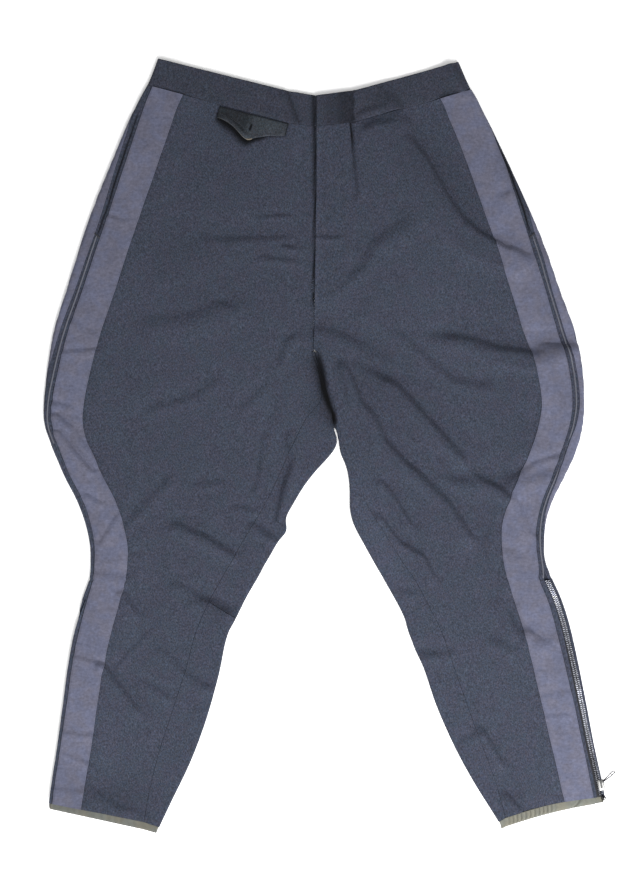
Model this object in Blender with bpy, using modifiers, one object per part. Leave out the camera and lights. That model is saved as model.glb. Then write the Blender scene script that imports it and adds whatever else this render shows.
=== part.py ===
"""Riding breeches with side stripes, laid out flat: the cloth as thin folded walls, with the closures.

Frame: +X towards the wearer's left, +Y up to the waist, +Z up off the surface that the garment lies on.
Tables are in millimetres from the front seam (across) and the fork (along). Across is positive away from the
front seam on either leg, so each leg has its own table: "r" is the wearer's right leg and "l" the left.
"""

import math

import bmesh
import bpy
import numpy as np

MM = 0.001

# Where the front seam and the fork lie from the middle of the garment's box.
CENTRE_X, CENTRE_Y = -19.0, -0.2

# Cloth
WALL = 1.5  # one layer of the twill with its fused edge
BAND_WALL = 2.2  # waistband, cloth and its stiffening
TAPE_WALL = 1.0  # hem tape
STRIPE_WALL = 0.9  # stripe cloth
PIPING_WALL = 1.2
FLAP_WALL = 1.6
SEAM = 0.3  # between two pieces that are sewn edge to edge
LAID = 0.5  # under a piece that lies on a panel
CURL = 1.3  # inner radius of a folded edge
EDGE_GAP = 2 * CURL  # between the layers at a folded edge
MID_GAP = 1.9  # between the layers away from the edges
LEAST_GAP, MOST_GAP = 0.6, 3.75
PLACKET_GAP = 3.75  # between the layers at the covered side opening
STRIPE_WIDTH = 42.0
PIPING_WIDTH = 2.2
PIPING_START = 3.74  # in sections, at the foot of the pocket opening

# Front closing
BAND_UNDER = 36.0  # how far the right band runs under the left one
FLY_UNDER = 30.0
FLY_STEP = WALL + SEAM

# Side openings
ZIP_WIDTH, ZIP_WALL = 5.8, 1.8
ZIP_TAPE_WALL, ZIP_TAPE_REACH = 0.6, 22.0
ZIP_OPENING = (3.9, 10.4)  # back edge and front edge, from the folded edge
SLIDER = (9.2, 15.0, 1.2)
TAB_LENGTH, TAB_WIDTH, TAB_WALL = 21.5, 4.6, 1.0
TAB_HEADING = 40.0  # degrees from +X in plan, left leg
TAB_SLOPE = 9.0
BAIL_RADIUS, EYE_INNER, EYE_OUTER = 0.6, 0.95, 1.5

COLUMNS = ("outer_x", "outer_y", "mid_x", "mid_y", "inner_x", "inner_y", "seam", "stripe_out", "stripe_in")
# Each row is one section across a leg, from its folded outer edge over a middle point to its inner edge.
# Above the fork the inner point is on the front seam and the middle one only bends the section.
# Below it the middle point is on the inseam. seam, stripe_out and stripe_in are measured in from the outer edge.
LEG_R = (
    # section        outer_x, outer_y, mid_x, mid_y, inner_x, inner_y, seam, stripe_out, stripe_in
    ("waist_seam", 216.5, 469, 35, 420, -1.7, 416, 4.2, 7, 48),
    ("pocket_top", 243, 417, 38, 374, -2, 372, 8, 13, 54),
    ("pocket_mid", 265, 365, 40, 326, -1.6, 324, 12, 17, 58),
    ("pocket_tack", 286, 313, 43, 280, -0.8, 278, 16, 21, 61),
    ("hip", 304, 261, 44, 239, -0.3, 238, 16, 21, 62),
    ("fly_end", 322, 203, 44, 194, 0.5, 192, 15, 20, 62),
    ("seat", 338, 151, 38, 150, 1, 147, 13, 18, 61),
    ("fork", 346, 105, 4.4, 122, -0.2, 122, 9, 14, 57),
    ("wing", 352, 60, -9, 66, -18, 62, 6, 11, 53),
    ("gap_top", 351, 27, 12, 35, -22, 27, 4.5, 10, 50),
    ("wing_low", 339, -5, 31, -3, -23, -1, 4, 8, 48),
    ("thigh_top", 325, -38, 47, -39, 4, -34, 4, 8, 50),
    ("thigh_mid", 308, -70, 62, -70, 25, -70, 4, 8, 50),
    ("thigh_low", 297, -99, 78, -98, 42, -101, 4, 7, 49),
    ("knee_top", 291, -129, 98, -131, 51, -129, 4, 6, 49),
    ("knee", 291, -155, 112, -156, 66, -156, 4, 5, 48),
    ("knee_notch", 293, -174, 122, -174, 77, -176, 4, 4.7, 47),
    ("cross_seam", 302, -200, 138, -203, 106, -222, 4, 6.6, 49),
    ("below_knee", 312, -239, 155, -243, 116, -255, 0.6, 6, 48),
    ("calf_top", 321, -285, 167, -287, 125, -299, 0.6, 6, 47),
    ("calf", 328, -337, 185, -344, 142, -359, 0.6, 5.5, 45),
    ("calf_low", 335, -389, 201, -393, 162, -412, 0.6, 5, 45),
    ("ankle", 342, -434, 214, -443, 187, -464, 0.6, 5, 44),
    ("hem", 346, -464, 222, -489, 202, -496, 0.6, 5, 43),
    ("tape_end", 346, -472, 222, -499, 205, -504, 0.6, 5, 43),
)
LEG_L = (
    ("waist_seam", 203, 463, 51, 421, 1.9, 416, 3.1, 3.4, 42),
    ("pocket_top", 228, 417, 47, 374, 2.2, 372, 3.1, 3.5, 46),
    ("pocket_mid", 253, 365, 47, 326, 1.8, 324, 3.6, 5.2, 51),
    ("pocket_tack", 276, 313, 47, 280, 1, 278, 7, 10.5, 56),
    ("hip", 298, 261, 47, 239, 0.4, 238, 10, 16, 60),
    ("fly_end", 318, 203, 44, 194, -0.4, 192, 13, 18, 63),
    ("seat", 337, 151, 38, 150, -1, 147, 16, 22, 66),
    ("fork", 347, 105, 4.9, 122, 0.3, 122, 12, 18, 61),
    ("wing", 350, 60, 24.5, 60, 20, 60, 10, 15, 55),
    ("gap_top", 348, 27, 30.5, 31, 26, 29, 12, 17, 57),
    ("wing_low", 340, -5, 38.5, -1, 34, -2, 14, 19, 59),
    ("thigh_top", 325, -38, 47.5, -34, 43, -35, 11, 16, 58),
    ("thigh_mid", 309, -70, 66, -72, 47, -69, 8, 13, 56),
    ("thigh_low", 300, -99, 83, -100, 50, -99, 6, 11, 56),
    ("knee_top", 298, -129, 101, -129, 65, -129, 5, 10, 55),
    ("knee", 301, -155, 117, -155, 80, -156, 5, 10, 55),
    ("knee_notch", 309, -174, 131, -175, 91, -175, 10.4, 17, 58),
    ("cross_seam", 320, -200, 147, -205, 116, -222, 10.8, 18, 61),
    ("below_knee", 332, -239, 164, -239, 123, -252, 11.5, 19, 61),
    ("calf_top", 343, -285, 181, -287, 141, -287, 11.5, 18, 60),
    ("calf", 353, -337, 199, -339, 159, -339, 11, 16, 58),
    ("calf_low", 362, -389, 218, -389, 183, -393, 10.6, 15, 56),
    ("ankle", 372, -434, 235, -436, 207, -437, 10.4, 15, 55),
    ("hem", 377, -456, 248, -485, 239, -489, 10.4, 15, 54),
    ("tape_end", 376, -464, 248, -496, 242, -499, 10.4, 15, 54),
)
SECTION = {row[0]: index for index, row in enumerate(LEG_R)}

# The waistband's top edge, as one more section above the waist seam.
BAND_TOP_R = ("band_top", 204, 504, 35, 462, -1.7, 456, 4.2, 7, 48)
BAND_TOP_L = ("band_top", 187, 500, 54, 463, 1.9, 456, 4.2, 7, 42)

# Largest folds: soft ridges and troughs, x signed here, with the half width and the height of each.
FOLDS = (
    # fold, x0, y0, x1, y1, width, height
    ("knee_r", -181, -99, -109, -133, 17, 1.9),
    ("knee_back_r", -148, -200, -103, -216, 14, 1.6),
    ("crotch_r", -40, 138, -77, -57, 24, 1.8),
    ("seat_r", -207, 47, -155, 66, 20, 1.2),
    ("hip_r", -155, 183, -109, 190, 20, 1.2),
    ("calf_r", -272, -289, -226, -343, 20, 1.5),
    ("calf_inner_r", -175, -298, -136, -311, 16, 1.1),
    ("stripe_seat_r", -330, 117, -278, 125, 13, 1.1),
    ("stripe_wing_r", -337, 49, -304, 44, 13, 1.0),
    ("stripe_low_r", -324, 8, -291, -42, 13, 1.1),
    ("stripe_calf_r", -317, -272, -278, -272, 13, 1.0),
    ("hip_l", 112, 398, 229, 261, 36, 1.4),
    ("seat_l", 27, 203, 125, 300, 24, -1.0),
    ("wing_l", 164, 144, 287, 118, 20, 1.7),
    ("fork_l", 73, 99, 144, 53, 20, 1.4),
    ("crotch_l", 40, 112, 112, -5, 22, 1.6),
    ("rise_l", 112, 138, 216, 86, 22, 1.2),
    ("thigh_l", 86, 8, 177, -70, 26, 1.7),
    ("inner_l", 92, -57, 125, -90, 16, 1.1),
    ("calf_l", 138, -265, 177, -272, 16, 1.1),
    ("stripe_hip_l", 239, 255, 274, 263, 13, 1.1),
    ("stripe_seat_l", 261, 140, 307, 135, 13, 1.1),
    ("stripe_wing_l", 294, 21, 320, -5, 13, 1.1),
    ("stripe_calf_l", 303, -245, 340, -252, 13, 0.9),
)

# Watch-pocket flap: how deep it hangs below its sewn edge, along that edge, and how far it lifts off.
FLAP_START, FLAP_END = (-123.5, 442.0), (-33.8, 418.8)
FLAP = (
    # along, depth, lift
    (0, 13.6, 1.6),
    (9, 14.2, 2.2),
    (17, 14.6, 2.5),
    (26, 17.7, 2.6),
    (34, 22.5, 2.6),
    (41, 28, 2.3),
    (49, 33, 1.6),
    (62, 28.3, 0.8),
    (71, 22.6, 0.5),
    (77, 20.1, 0.4),
    (92.4, 16, 0.4),
)
BUTTONHOLE = (-83.2, 414.0, 0.9, 9.0)  # middle x, middle y, width, length

COLOURS = {
    # colour, roughness, metallic
    "cloth": ((0.060, 0.068, 0.086), 0.85, 0.0),
    "band": ((0.052, 0.058, 0.074), 0.85, 0.0),
    "stripe": ((0.130, 0.130, 0.190), 0.80, 0.0),
    "piping": ((0.150, 0.150, 0.210), 0.80, 0.0),
    "tape": ((0.100, 0.098, 0.080), 0.90, 0.0),
    "black": ((0.018, 0.019, 0.024), 0.80, 0.0),
    "zip": ((0.420, 0.420, 0.430), 0.35, 1.0),
    "nickel": ((0.560, 0.560, 0.560), 0.28, 1.0),
}


# ---------------------------------------------------------------- scene


def clear():
    for obj in list(bpy.data.objects):
        bpy.data.objects.remove(obj, do_unlink=True)


def collection(name):
    made = bpy.data.collections.new(name)
    bpy.context.scene.collection.children.link(made)
    return made


def material(name):
    if name in bpy.data.materials:
        return bpy.data.materials[name]
    colour, roughness, metallic = COLOURS[name.split("_of_")[0]]
    made = bpy.data.materials.new(name)
    made.use_nodes = True
    shader = made.node_tree.nodes["Principled BSDF"]
    shader.inputs["Base Color"].default_value = (*colour, 1.0)
    shader.inputs["Roughness"].default_value = roughness
    shader.inputs["Metallic"].default_value = metallic
    made.diffuse_color = (*colour, 1.0)
    return made


clear()
GARMENT = collection("riding_breeches")
HELPERS = collection("helpers")
HELPERS.hide_render = True
ORIGIN = bpy.data.objects.new("laid_out", None)
ORIGIN.location = (CENTRE_X * MM, CENTRE_Y * MM, 0)
GARMENT.objects.link(ORIGIN)


def keep(obj, slot, parent=None):
    obj.data.materials.clear()
    obj.data.materials.append(material(f"{slot}_of_{obj.name}"))
    for home in list(obj.users_collection):
        home.objects.unlink(obj)
    GARMENT.objects.link(obj)
    obj.parent = parent or ORIGIN
    return obj


def helper(obj, parent=None):
    for home in list(obj.users_collection):
        home.objects.unlink(obj)
    HELPERS.objects.link(obj)
    obj.hide_render = True
    obj.display_type = "WIRE"
    obj.parent = parent or ORIGIN
    return obj


# ---------------------------------------------------------------- sections


def smooth(value):
    value = min(max(value, 0.0), 1.0)
    return value * value * (3 - 2 * value)


def curve_through(table, at):
    """A row of the table at a place between its rows, on a curve through them all."""
    rows = np.array([row[1:] for row in table], float)
    last = len(rows) - 1
    k = min(int(at), last - 1)
    f = at - k
    a, b = rows[k], rows[k + 1]
    before = rows[k - 1] if k else 2 * a - b
    after = rows[k + 2] if k + 2 <= last else 2 * b - a
    return 0.5 * (2 * a + (b - before) * f + (2 * before - 5 * a + 4 * b - after) * f**2 + (3 * a - before - 3 * b + after) * f**3)


def fold_height(x, y):
    """Height that the folds add at a place on the top layer."""
    total = 0.0
    for _, x0, y0, x1, y1, width, height in FOLDS:
        run = np.array((x1 - x0, y1 - y0), float)
        length = float(np.hypot(*run))
        run /= length
        along = (x - x0) * run[0] + (y - y0) * run[1]
        off = (x - x0) * run[1] - (y - y0) * run[0]
        past = max(-along, along - length, 0.0)
        total += height * math.exp(-((off / width) ** 2) - (past / (1.2 * width)) ** 2)
    return total


class Section:
    """One section across a leg: where it runs in plan, and the inner faces of its two layers."""

    def __init__(self, leg, at):
        self.leg, self.at = leg, at
        v = dict(zip(COLUMNS, curve_through(leg.table, at)))
        side = leg.side
        self.outer = np.array((side * v["outer_x"], v["outer_y"]))
        self.mid = np.array((side * v["mid_x"], v["mid_y"]))
        self.inner = np.array((side * v["inner_x"], v["inner_y"]))
        self.seam, self.stripe_out, self.stripe_in = v["seam"], v["stripe_out"], v["stripe_in"]
        self.to_mid = float(np.hypot(*(self.mid - self.outer)))
        self.length = self.to_mid + float(np.hypot(*(self.inner - self.mid)))
        self.below_fork = at >= SECTION["fork"] - 1e-6
        self.back_edge = self.seam - SEAM / 2
        self.rise, self.bow = 1.15, 0.0
        if side > 0 and at >= SECTION["knee_notch"] - 1e-6:
            self.back_edge = ZIP_OPENING[0]
            # This leg's end is cut on a shallow curve.
            self.bow = 5.5 * smooth(at - SECTION["ankle"]) - 2.0 * smooth(at - SECTION["hem"])

    def plan(self, s):
        x, y = self.straight(s)
        return np.array((x, y + self.bow * math.sin(math.pi * min(max(s / self.length, 0.0), 1.0))))

    def straight(self, s):
        if s <= self.to_mid:
            return self.outer + (self.mid - self.outer) * (s / self.to_mid)
        run = (self.inner - self.mid) / (self.length - self.to_mid)
        if s <= self.length:
            return self.mid + run * (s - self.to_mid)
        # Past the front seam, cloth that runs under the other side follows that side's rise.
        return self.inner + run * (1, -self.rise) * (s - self.length)

    def floor(self, s):
        """Inner face of the back layer: it rides up over the stripe sewn under its edge."""
        ride = STRIPE_WALL + LAID
        under = STRIPE_WIDTH + 3 - self.back_edge
        return WALL + ride * (1 - smooth((s - under) / 14))

    def placket(self):
        """1 where the covered side opening of the right leg is."""
        return smooth(self.at - SECTION["cross_seam"]) if self.leg.side < 0 else 0.0

    def placket_stop(self):
        """How far round the outer edge the back panel stops, under the covered side opening."""
        return min(self.placket() / 0.5, 1.0) * 0.72

    def roof(self, s):
        """Inner face of the top layer."""
        left = self.length - s
        edge = WALL + STRIPE_WALL + LAID + EDGE_GAP + (PLACKET_GAP - EDGE_GAP) * self.placket()
        level = WALL + MID_GAP
        z = level + (edge - level) * (1 - smooth((s - self.stripe_in) / 40))
        split = smooth(self.at - SECTION["seat"])
        z += (WALL + EDGE_GAP - level) * (1 - smooth((left - 6) / 30)) * split
        fly = self.at < SECTION["fly_end"] + 0.25
        low, high = WALL + 0.9, WALL + 0.9 + FLY_STEP
        near = 0.0
        if self.leg.side < 0:
            near = (1 - smooth((left - 8) / 30)) * (1 - split)
            if fly:
                z += (low - level) * near
        else:
            near = 1 - smooth((left - FLY_UNDER - 8) / 14)
            if fly:
                z += (high - level) * near
        x, y = self.plan(min(max(s, 0.0), self.length))
        calm = 1 - (near if self.at < SECTION["seat"] else 0.0)
        calm *= smooth((s - 3) / 10) * (smooth((left - 3) / 10) if split else 1.0)
        calm *= smooth(self.at / 0.5)
        z += fold_height(x, y) * calm
        return min(max(z, self.floor(s) + LEAST_GAP), self.floor(s) + MOST_GAP)

    def point(self, s, z):
        x, y = self.plan(s)
        return np.array((x, y, z))

    def outer_round(self, share):
        """A point on the folded outer edge, from its top (0) round to its underside (1)."""
        start = WALL + CURL
        low = self.floor(start)
        high = self.roof(start) if not self.placket() else low + EDGE_GAP
        angle = math.pi * (0.5 - share)
        half = (high - low) / 2
        return self.point(start - CURL * math.cos(angle), low + half + half * math.sin(angle))

    def inner_round(self, share):
        """A point on the folded inner edge, from its underside (0) round to its top (1)."""
        start = self.length - WALL - CURL
        low, high = WALL, self.roof(start)
        angle = math.pi * (share - 0.5)
        half = (high - low) / 2
        return self.point(start + CURL * math.cos(angle), low + half + half * math.sin(angle))


class Leg:
    def __init__(self, name, side, table, band_top):
        self.name, self.side, self.table, self.band_top = name, side, table, band_top

    def sections(self, start, end):
        """Sections from one named place to another, each a hair inside it, and halves where they are far apart."""
        low, high = SECTION[start], SECTION[end]
        halves = [SECTION[n] + 0.5 for n in HALVED if low <= SECTION[n] < high]
        turns = [SECTION["cross_seam"] + share for share in (0.25, 0.5)] if self.side < 0 else []
        turns = [place for place in turns if low < place < high]
        places = sorted(set(range(low, high + 1)) | set(halves) | set(turns))
        made = []
        for place in places:
            if place == low:
                place += SEAM / 2 / self.spacing(low)
            elif place == high:
                place -= SEAM / 2 / self.spacing(high - 1)
            made.append(Section(self, place))
        return made

    def spacing(self, k):
        a, b = curve_through(self.table, k), curve_through(self.table, k + 1)
        return abs(a[1] - b[1])


HALVED = ("waist_seam", "pocket_top", "pocket_mid", "pocket_tack", "hip", "fly_end", "seat", "fork", "calf_top")
LEGS = (Leg("r", -1, LEG_R, BAND_TOP_R), Leg("l", 1, LEG_L, BAND_TOP_L))


# ---------------------------------------------------------------- walls


def face_sign(grid):
    """1 where a grid's first faces look up."""
    a, b, c = grid[0][0], grid[0][1], grid[1][0]
    return 1 if np.cross(b - a, c - a)[2] > 0 else -1


def normals(grid):
    """The outward normal at each point of a full grid."""
    points = np.array(grid)
    across = np.gradient(points, axis=1)
    down = np.gradient(points, axis=0)
    found = np.cross(across, down)
    return found / np.linalg.norm(found, axis=2, keepdims=True)


def moved_out(grid, distance, sign):
    return [list(row) for row in np.array(grid) + sign * distance * normals(grid)]


def wall(name, grid, thickness, sign, slot):
    """A sheet from rows of points, its inner face, thickened outwards. A point may be None where there is no cloth."""
    index, points = {}, []
    for r, row in enumerate(grid):
        for c, point in enumerate(row):
            if point is not None:
                index[r, c] = len(points)
                points.append(tuple(float(v) * MM for v in point))
    faces = []
    for r in range(len(grid) - 1):
        for c in range(len(grid[r]) - 1):
            corners = [(r, c), (r, c + 1), (r + 1, c + 1), (r + 1, c)]
            if all(corner in index for corner in corners):
                face = [index[corner] for corner in corners]
                faces.append(face if sign > 0 else face[::-1])
    mesh = bpy.data.meshes.new(name)
    mesh.from_pydata(points, [], faces)
    obj = bpy.data.objects.new(name, mesh)
    GARMENT.objects.link(obj)
    keep(obj, slot)
    made = obj.modifiers.new("wall", "SOLIDIFY")
    made.thickness = thickness * MM
    made.offset = 1.0
    made.use_even_offset = True
    made.use_quality_normals = True
    mesh.shade_smooth()
    return obj


# ---------------------------------------------------------------- panels


def front_columns(section):
    """Places across the top layer, from the side seam to the front seam or the inseam."""
    end = section.length if not section.below_fork else section.to_mid
    start = section.seam + SEAM / 2
    stripe = (section.stripe_out + section.stripe_in) / 2
    near = min(FLY_UNDER + 22, 0.55 * (end - section.stripe_in))
    first = [start, section.stripe_out, stripe, section.stripe_in]
    spread = list(np.linspace(section.stripe_in, end - near, 5)[1:])
    places = first + spread + [end - near * 0.73, end - near * 0.36, end - SEAM / 2]
    if not section.below_fork and section.at < SECTION["seat"]:
        # The bend in the section is a column too, so that this edge follows the waistband's.
        places[-3 if section.leg.side < 0 else -4] = section.to_mid
    return places


def front_panel(leg):
    rows = []
    for section in leg.sections("waist_seam", "hem"):
        places = front_columns(section)
        if leg.side < 0 and section.at < SECTION["fly_end"] - 0.25:
            places[-2] = section.length - 6
            places[-1] = section.length + FLY_UNDER
        rows.append([section.point(s, section.roof(s)) for s in places])
    return wall(f"front_{leg.name}", rows, WALL, leg.side, "cloth")


def back_row(section, wraps):
    """From the side seam over the outer edge, along the underside, and up over the inner edge to the inseam."""
    first = section.placket_stop()
    row = []
    if section.placket():
        row += [section.outer_round(first + (1 - first) * k / 4) for k in range(5)]
    else:
        s = section.back_edge
        row.append(section.point(s, section.roof(s)))
        row += [section.outer_round(k / 3) for k in range(4)]
    under = STRIPE_WIDTH + 3 - section.back_edge
    for s in (under, under + 14):
        row.append(section.point(s, section.floor(s)))
    if not section.below_fork:
        row += [section.point(s, WALL) for s in (section.to_mid, section.length - SEAM / 2)]
        return row + [None] * (6 if wraps else 0)
    last = section.length - WALL - CURL
    row += [section.point(s, WALL) for s in (min(section.to_mid, (under + 14 + 2 * last) / 3), last)]
    row += [section.inner_round(k / 3) for k in (1, 2, 3)]
    start, end = section.length - WALL - CURL, section.to_mid + SEAM / 2
    for k in (1, 2, 3):
        s = start + (end - start) * k / 3
        row.append(section.point(s, section.roof(s)))
    return row


def back_panel(leg):
    rows = [back_row(section, True) for section in leg.sections("waist_seam", "cross_seam")]
    return wall(f"back_{leg.name}", rows, WALL, leg.side * -1, "cloth")


def calf_panel(leg):
    rows = [back_row(section, True) for section in leg.sections("cross_seam", "hem")]
    return wall(f"calf_{leg.name}", rows, WALL, leg.side * -1, "cloth")


# ---------------------------------------------------------------- laid on


def front_stripe(leg):
    rows = []
    for section in leg.sections("waist_seam", "hem"):
        places = (section.stripe_out, (section.stripe_out + section.stripe_in) / 2, section.stripe_in)
        rows.append([section.point(s, section.roof(s)) for s in places])
    sign = face_sign(rows)
    return wall(f"stripe_front_{leg.name}", moved_out(rows, WALL + LAID, sign), STRIPE_WALL, sign, "stripe")


def side_point(section, reach):
    """A point on the inner face of the side, this far from the side seam going out and round to the underside."""
    start = WALL + CURL
    seam = section.back_edge
    if reach <= seam - start:
        return section.point(seam - reach, section.roof(seam - reach))
    turn = math.pi * CURL
    past = reach - (seam - start)
    if past <= turn:
        return section.outer_round(past / turn)
    s = start + past - turn
    return section.point(s, section.floor(s))


def back_stripe(leg):
    rows = []
    for section in leg.sections("waist_seam", "hem"):
        seam = section.back_edge
        turn, flat = math.pi * CURL, max(seam - WALL - CURL, 0.0)
        # The stripe starts beside the piping, or on the fold itself where the side seam is close to it.
        close = min((3.8 - flat) / 1.8, 1.0)
        shares = (0.26 * max(close, 0.0), 1 / 3, 2 / 3, 1.0)
        first = 3.2 if flat > 3.6 else flat + 0.18 * close * turn
        if leg.side < 0 and section.at >= SECTION["cross_seam"] - 1e-6:
            stop = section.placket_stop()
            first, *shares = [stop + (1 - stop) * share for share in (0.15, 0.25, 0.5, 0.75, 1.0)]
            flat = 0.0 if section.placket() else flat
            first = flat + first * turn
        places = [first] + [flat + turn * share for share in shares] + [STRIPE_WIDTH - 1]
        if section.placket():
            rows.append([placket_point(section, place) for place in places])
        else:
            rows.append([side_point(section, place) for place in places])
    sign = -leg.side
    return wall(f"stripe_back_{leg.name}", moved_out(rows, WALL + LAID + 0.1, sign), STRIPE_WALL - 0.1, sign, "stripe")


def placket_point(section, reach):
    turn = math.pi * CURL
    if reach <= turn:
        return section.outer_round(reach / turn)
    s = WALL + CURL + reach - turn
    return section.point(s, section.floor(s))


def piping(leg):
    # It starts under the pocket's tack. On the right leg it goes round the fold below the wing.
    end = "wing_low" if leg.side < 0 else "knee_notch"
    rows = []
    for section in [Section(leg, PIPING_START)] + leg.sections("hip", end):
        seam = section.seam
        half = PIPING_WIDTH / 2
        outside = side_point(section, half)
        rows.append([section.point(seam + half, section.roof(seam + half)), section.point(seam, section.roof(seam)), outside])
    sign = face_sign(rows)
    return wall(f"piping_{leg.name}", moved_out(rows, WALL + LAID, sign), PIPING_WALL, sign, "piping")


# ---------------------------------------------------------------- waistband


class BandSection(Section):
    """A section of the waistband, between the waist seam and its top edge."""

    def __init__(self, leg, share):
        low, high = np.array(leg.table[0][1:], float), np.array(leg.band_top[1:], float)
        table = (("low", *low), ("high", *high))
        self.leg, self.at = leg, -share
        v = dict(zip(COLUMNS, low + (high - low) * share))
        self.outer = np.array((leg.side * v["outer_x"], v["outer_y"]))
        self.mid = np.array((leg.side * v["mid_x"], v["mid_y"]))
        self.inner = np.array((leg.side * v["inner_x"], v["inner_y"]))
        self.seam, self.rise, self.bow = 4.2, 1.15 - 0.55 * share, 0.0
        self.to_mid = float(np.hypot(*(self.mid - self.outer)))
        self.length = self.to_mid + float(np.hypot(*(self.inner - self.mid)))

    def floor(self, s):
        return BAND_WALL

    def roof(self, s):
        left = self.length - s
        level = BAND_WALL + 1.5
        z = level + (EDGE_GAP - 1.5) * (1 - smooth((s - 8) / 40))
        if self.leg.side < 0:
            return z + (0.4 - 1.5) * (1 - smooth((left - 8) / 30))
        high = 0.4 + BAND_WALL + SEAM
        return z + (high - 1.5) * (1 - smooth((left - BAND_UNDER - 4) / 16))

    def outer_round(self, share):
        start = BAND_WALL + CURL
        low, high = self.floor(start), self.roof(start)
        angle = math.pi * (0.5 - share)
        half = (high - low) / 2
        return self.point(start - CURL * math.cos(angle), low + half + half * math.sin(angle))


def waistband(leg):
    rows = []
    for share in (0.0, 0.5, 1.0):
        section = BandSection(leg, share + (SEAM / 2 / 41 if share == 0 else 0))
        start = BAND_WALL + CURL
        if leg.side < 0:
            ends = [section.length + BAND_UNDER, section.length - 6, section.to_mid, section.length - 58]
        else:
            half = BAND_UNDER / 2
            ends = [section.length - SEAM / 2, section.length - half, section.length - 2 * half - 3, section.to_mid, section.length - 62]
        places = ends + list(np.linspace(section.length - 62, start, 5)[1:-1])
        row = [section.point(s, section.roof(s)) for s in places]
        row += [section.outer_round(k / 4) for k in range(5)]
        row += [section.point(s, BAND_WALL) for s in (60, section.to_mid, section.length - SEAM / 2)]
        rows.append(row)
    return wall(f"waistband_{leg.name}", rows, BAND_WALL, face_sign(rows), "band")


# ---------------------------------------------------------------- hem tape


def hem_tape(leg):
    """One strip round the leg end, open at the side."""
    rows = []
    for at in (SECTION["hem"] + 0.05, SECTION["tape_end"]):
        section = Section(leg, at)
        low, high = TAPE_WALL, TAPE_WALL + 2.2
        radius = (high - low) / 2

        def bend(start, direction, share):
            angle = math.pi * (share - 0.5)
            return section.point(start + direction * radius * math.cos(angle), low + radius + radius * math.sin(angle))

        near, far = TAPE_WALL + radius + 0.6, section.length - TAPE_WALL - radius - 0.6
        row = [section.point(s, high) for s in (section.seam + 4, section.to_mid * 0.5, section.to_mid * 0.8, far)]
        row += [bend(far, 1, share) for share in (0.67, 0.33, 0.0)]
        row += [section.point(s, low) for s in (section.to_mid * 0.5, near)]
        row += [bend(near, -1, share) for share in (0.33, 0.67)]
        rows.append(row)
    return wall(f"hem_tape_{leg.name}", rows, TAPE_WALL, face_sign(rows), "tape")


# ---------------------------------------------------------------- watch pocket


def panel_height(leg, x, y):
    """Height of the top layer's outer face at a place, from the section nearest to it."""
    best = None
    for k in np.linspace(0.01, 1.5, 60):
        section = Section(leg, k)
        run = section.mid - section.outer
        off = abs((x - section.outer[0]) * run[1] - (y - section.outer[1]) * run[0]) / np.hypot(*run)
        if best is None or off < best[0]:
            best = (off, section, float(np.hypot(x - section.outer[0], y - section.outer[1])))
    return best[1].roof(best[2]) + WALL


def watch_flap():
    leg = LEGS[0]
    start, end = np.array(FLAP_START), np.array(FLAP_END)
    run = (end - start) / np.hypot(*(end - start))
    drop = np.array((run[1], -run[0]))
    rows = []
    for share in (0.0, 0.4, 0.75, 1.0):
        row = []
        for along, depth, lift in FLAP:
            x, y = start + run * along + drop * depth * share
            row.append(np.array((x, y, panel_height(leg, x, y) + LAID + lift * share**2)))
        rows.append(row)
    flap = wall("watch_flap", rows, FLAP_WALL, face_sign(rows), "band")
    x, y, width, length = BUTTONHOLE
    bpy.ops.mesh.primitive_cube_add(size=1)
    cutter = helper(bpy.context.object)
    cutter.name = "buttonhole"
    cutter.location = (x * MM, y * MM, 6 * MM)
    cutter.scale = (width * MM, length * MM, 20 * MM)
    cutter.rotation_euler = (0, 0, math.radians(-20))
    cut = flap.modifiers.new("buttonhole", "BOOLEAN")
    cut.operation, cut.object = "DIFFERENCE", cutter
    return flap


# ---------------------------------------------------------------- side openings


def zip_strip(leg, name, start, end, inside, outside, low, thickness, slot):
    """A flat strip along the side opening, at one height."""
    rows = []
    for section in leg.sections(start, end):
        rows.append([section.point(s, low) for s in (inside, outside)])
    return wall(name, rows, thickness, face_sign(rows), slot)


def side_opening(leg):
    low = WALL + STRIPE_WALL + LAID
    if leg.side > 0:
        middle = low + EDGE_GAP
        back, front = ZIP_OPENING
        zip_strip(leg, "zip_tape_l", "knee_notch", "hem", ZIP_TAPE_REACH, 2.3, middle - 1.2, ZIP_TAPE_WALL, "black")
        edge = (back + front) / 2
        half = ZIP_WIDTH / 2
        return zip_strip(leg, "zip_chain_l", "knee_notch", "hem", edge + half, edge - half, middle - 0.3, ZIP_WALL, "zip")
    zip_strip(leg, "zip_tape_r", "below_knee", "hem", ZIP_TAPE_REACH, ZIP_WIDTH + 2.2, low + 1.2, ZIP_TAPE_WALL, "black")
    return zip_strip(leg, "zip_chain_r", "below_knee", "ankle", ZIP_WIDTH + 1.6, 1.6, low + 0.95, 1.3, "zip")


# ---------------------------------------------------------------- hardware


def block(name, size, at, turn=0.0, bevel=0.0):
    """A box of this size with its middle at a place, turned about Z and with softened edges."""
    mesh = bpy.data.meshes.new(name)
    shape = bmesh.new()
    bmesh.ops.create_cube(shape, size=1.0)
    bmesh.ops.scale(shape, vec=[v * MM for v in size], verts=shape.verts)
    if bevel:
        bmesh.ops.bevel(shape, geom=list(shape.edges), offset=bevel * MM, segments=2, profile=0.5, affect="EDGES")
    shape.to_mesh(mesh)
    shape.free()
    obj = bpy.data.objects.new(name, mesh)
    GARMENT.objects.link(obj)
    obj.location = [v * MM for v in at]
    obj.rotation_euler = (0, 0, turn)
    return obj


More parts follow.
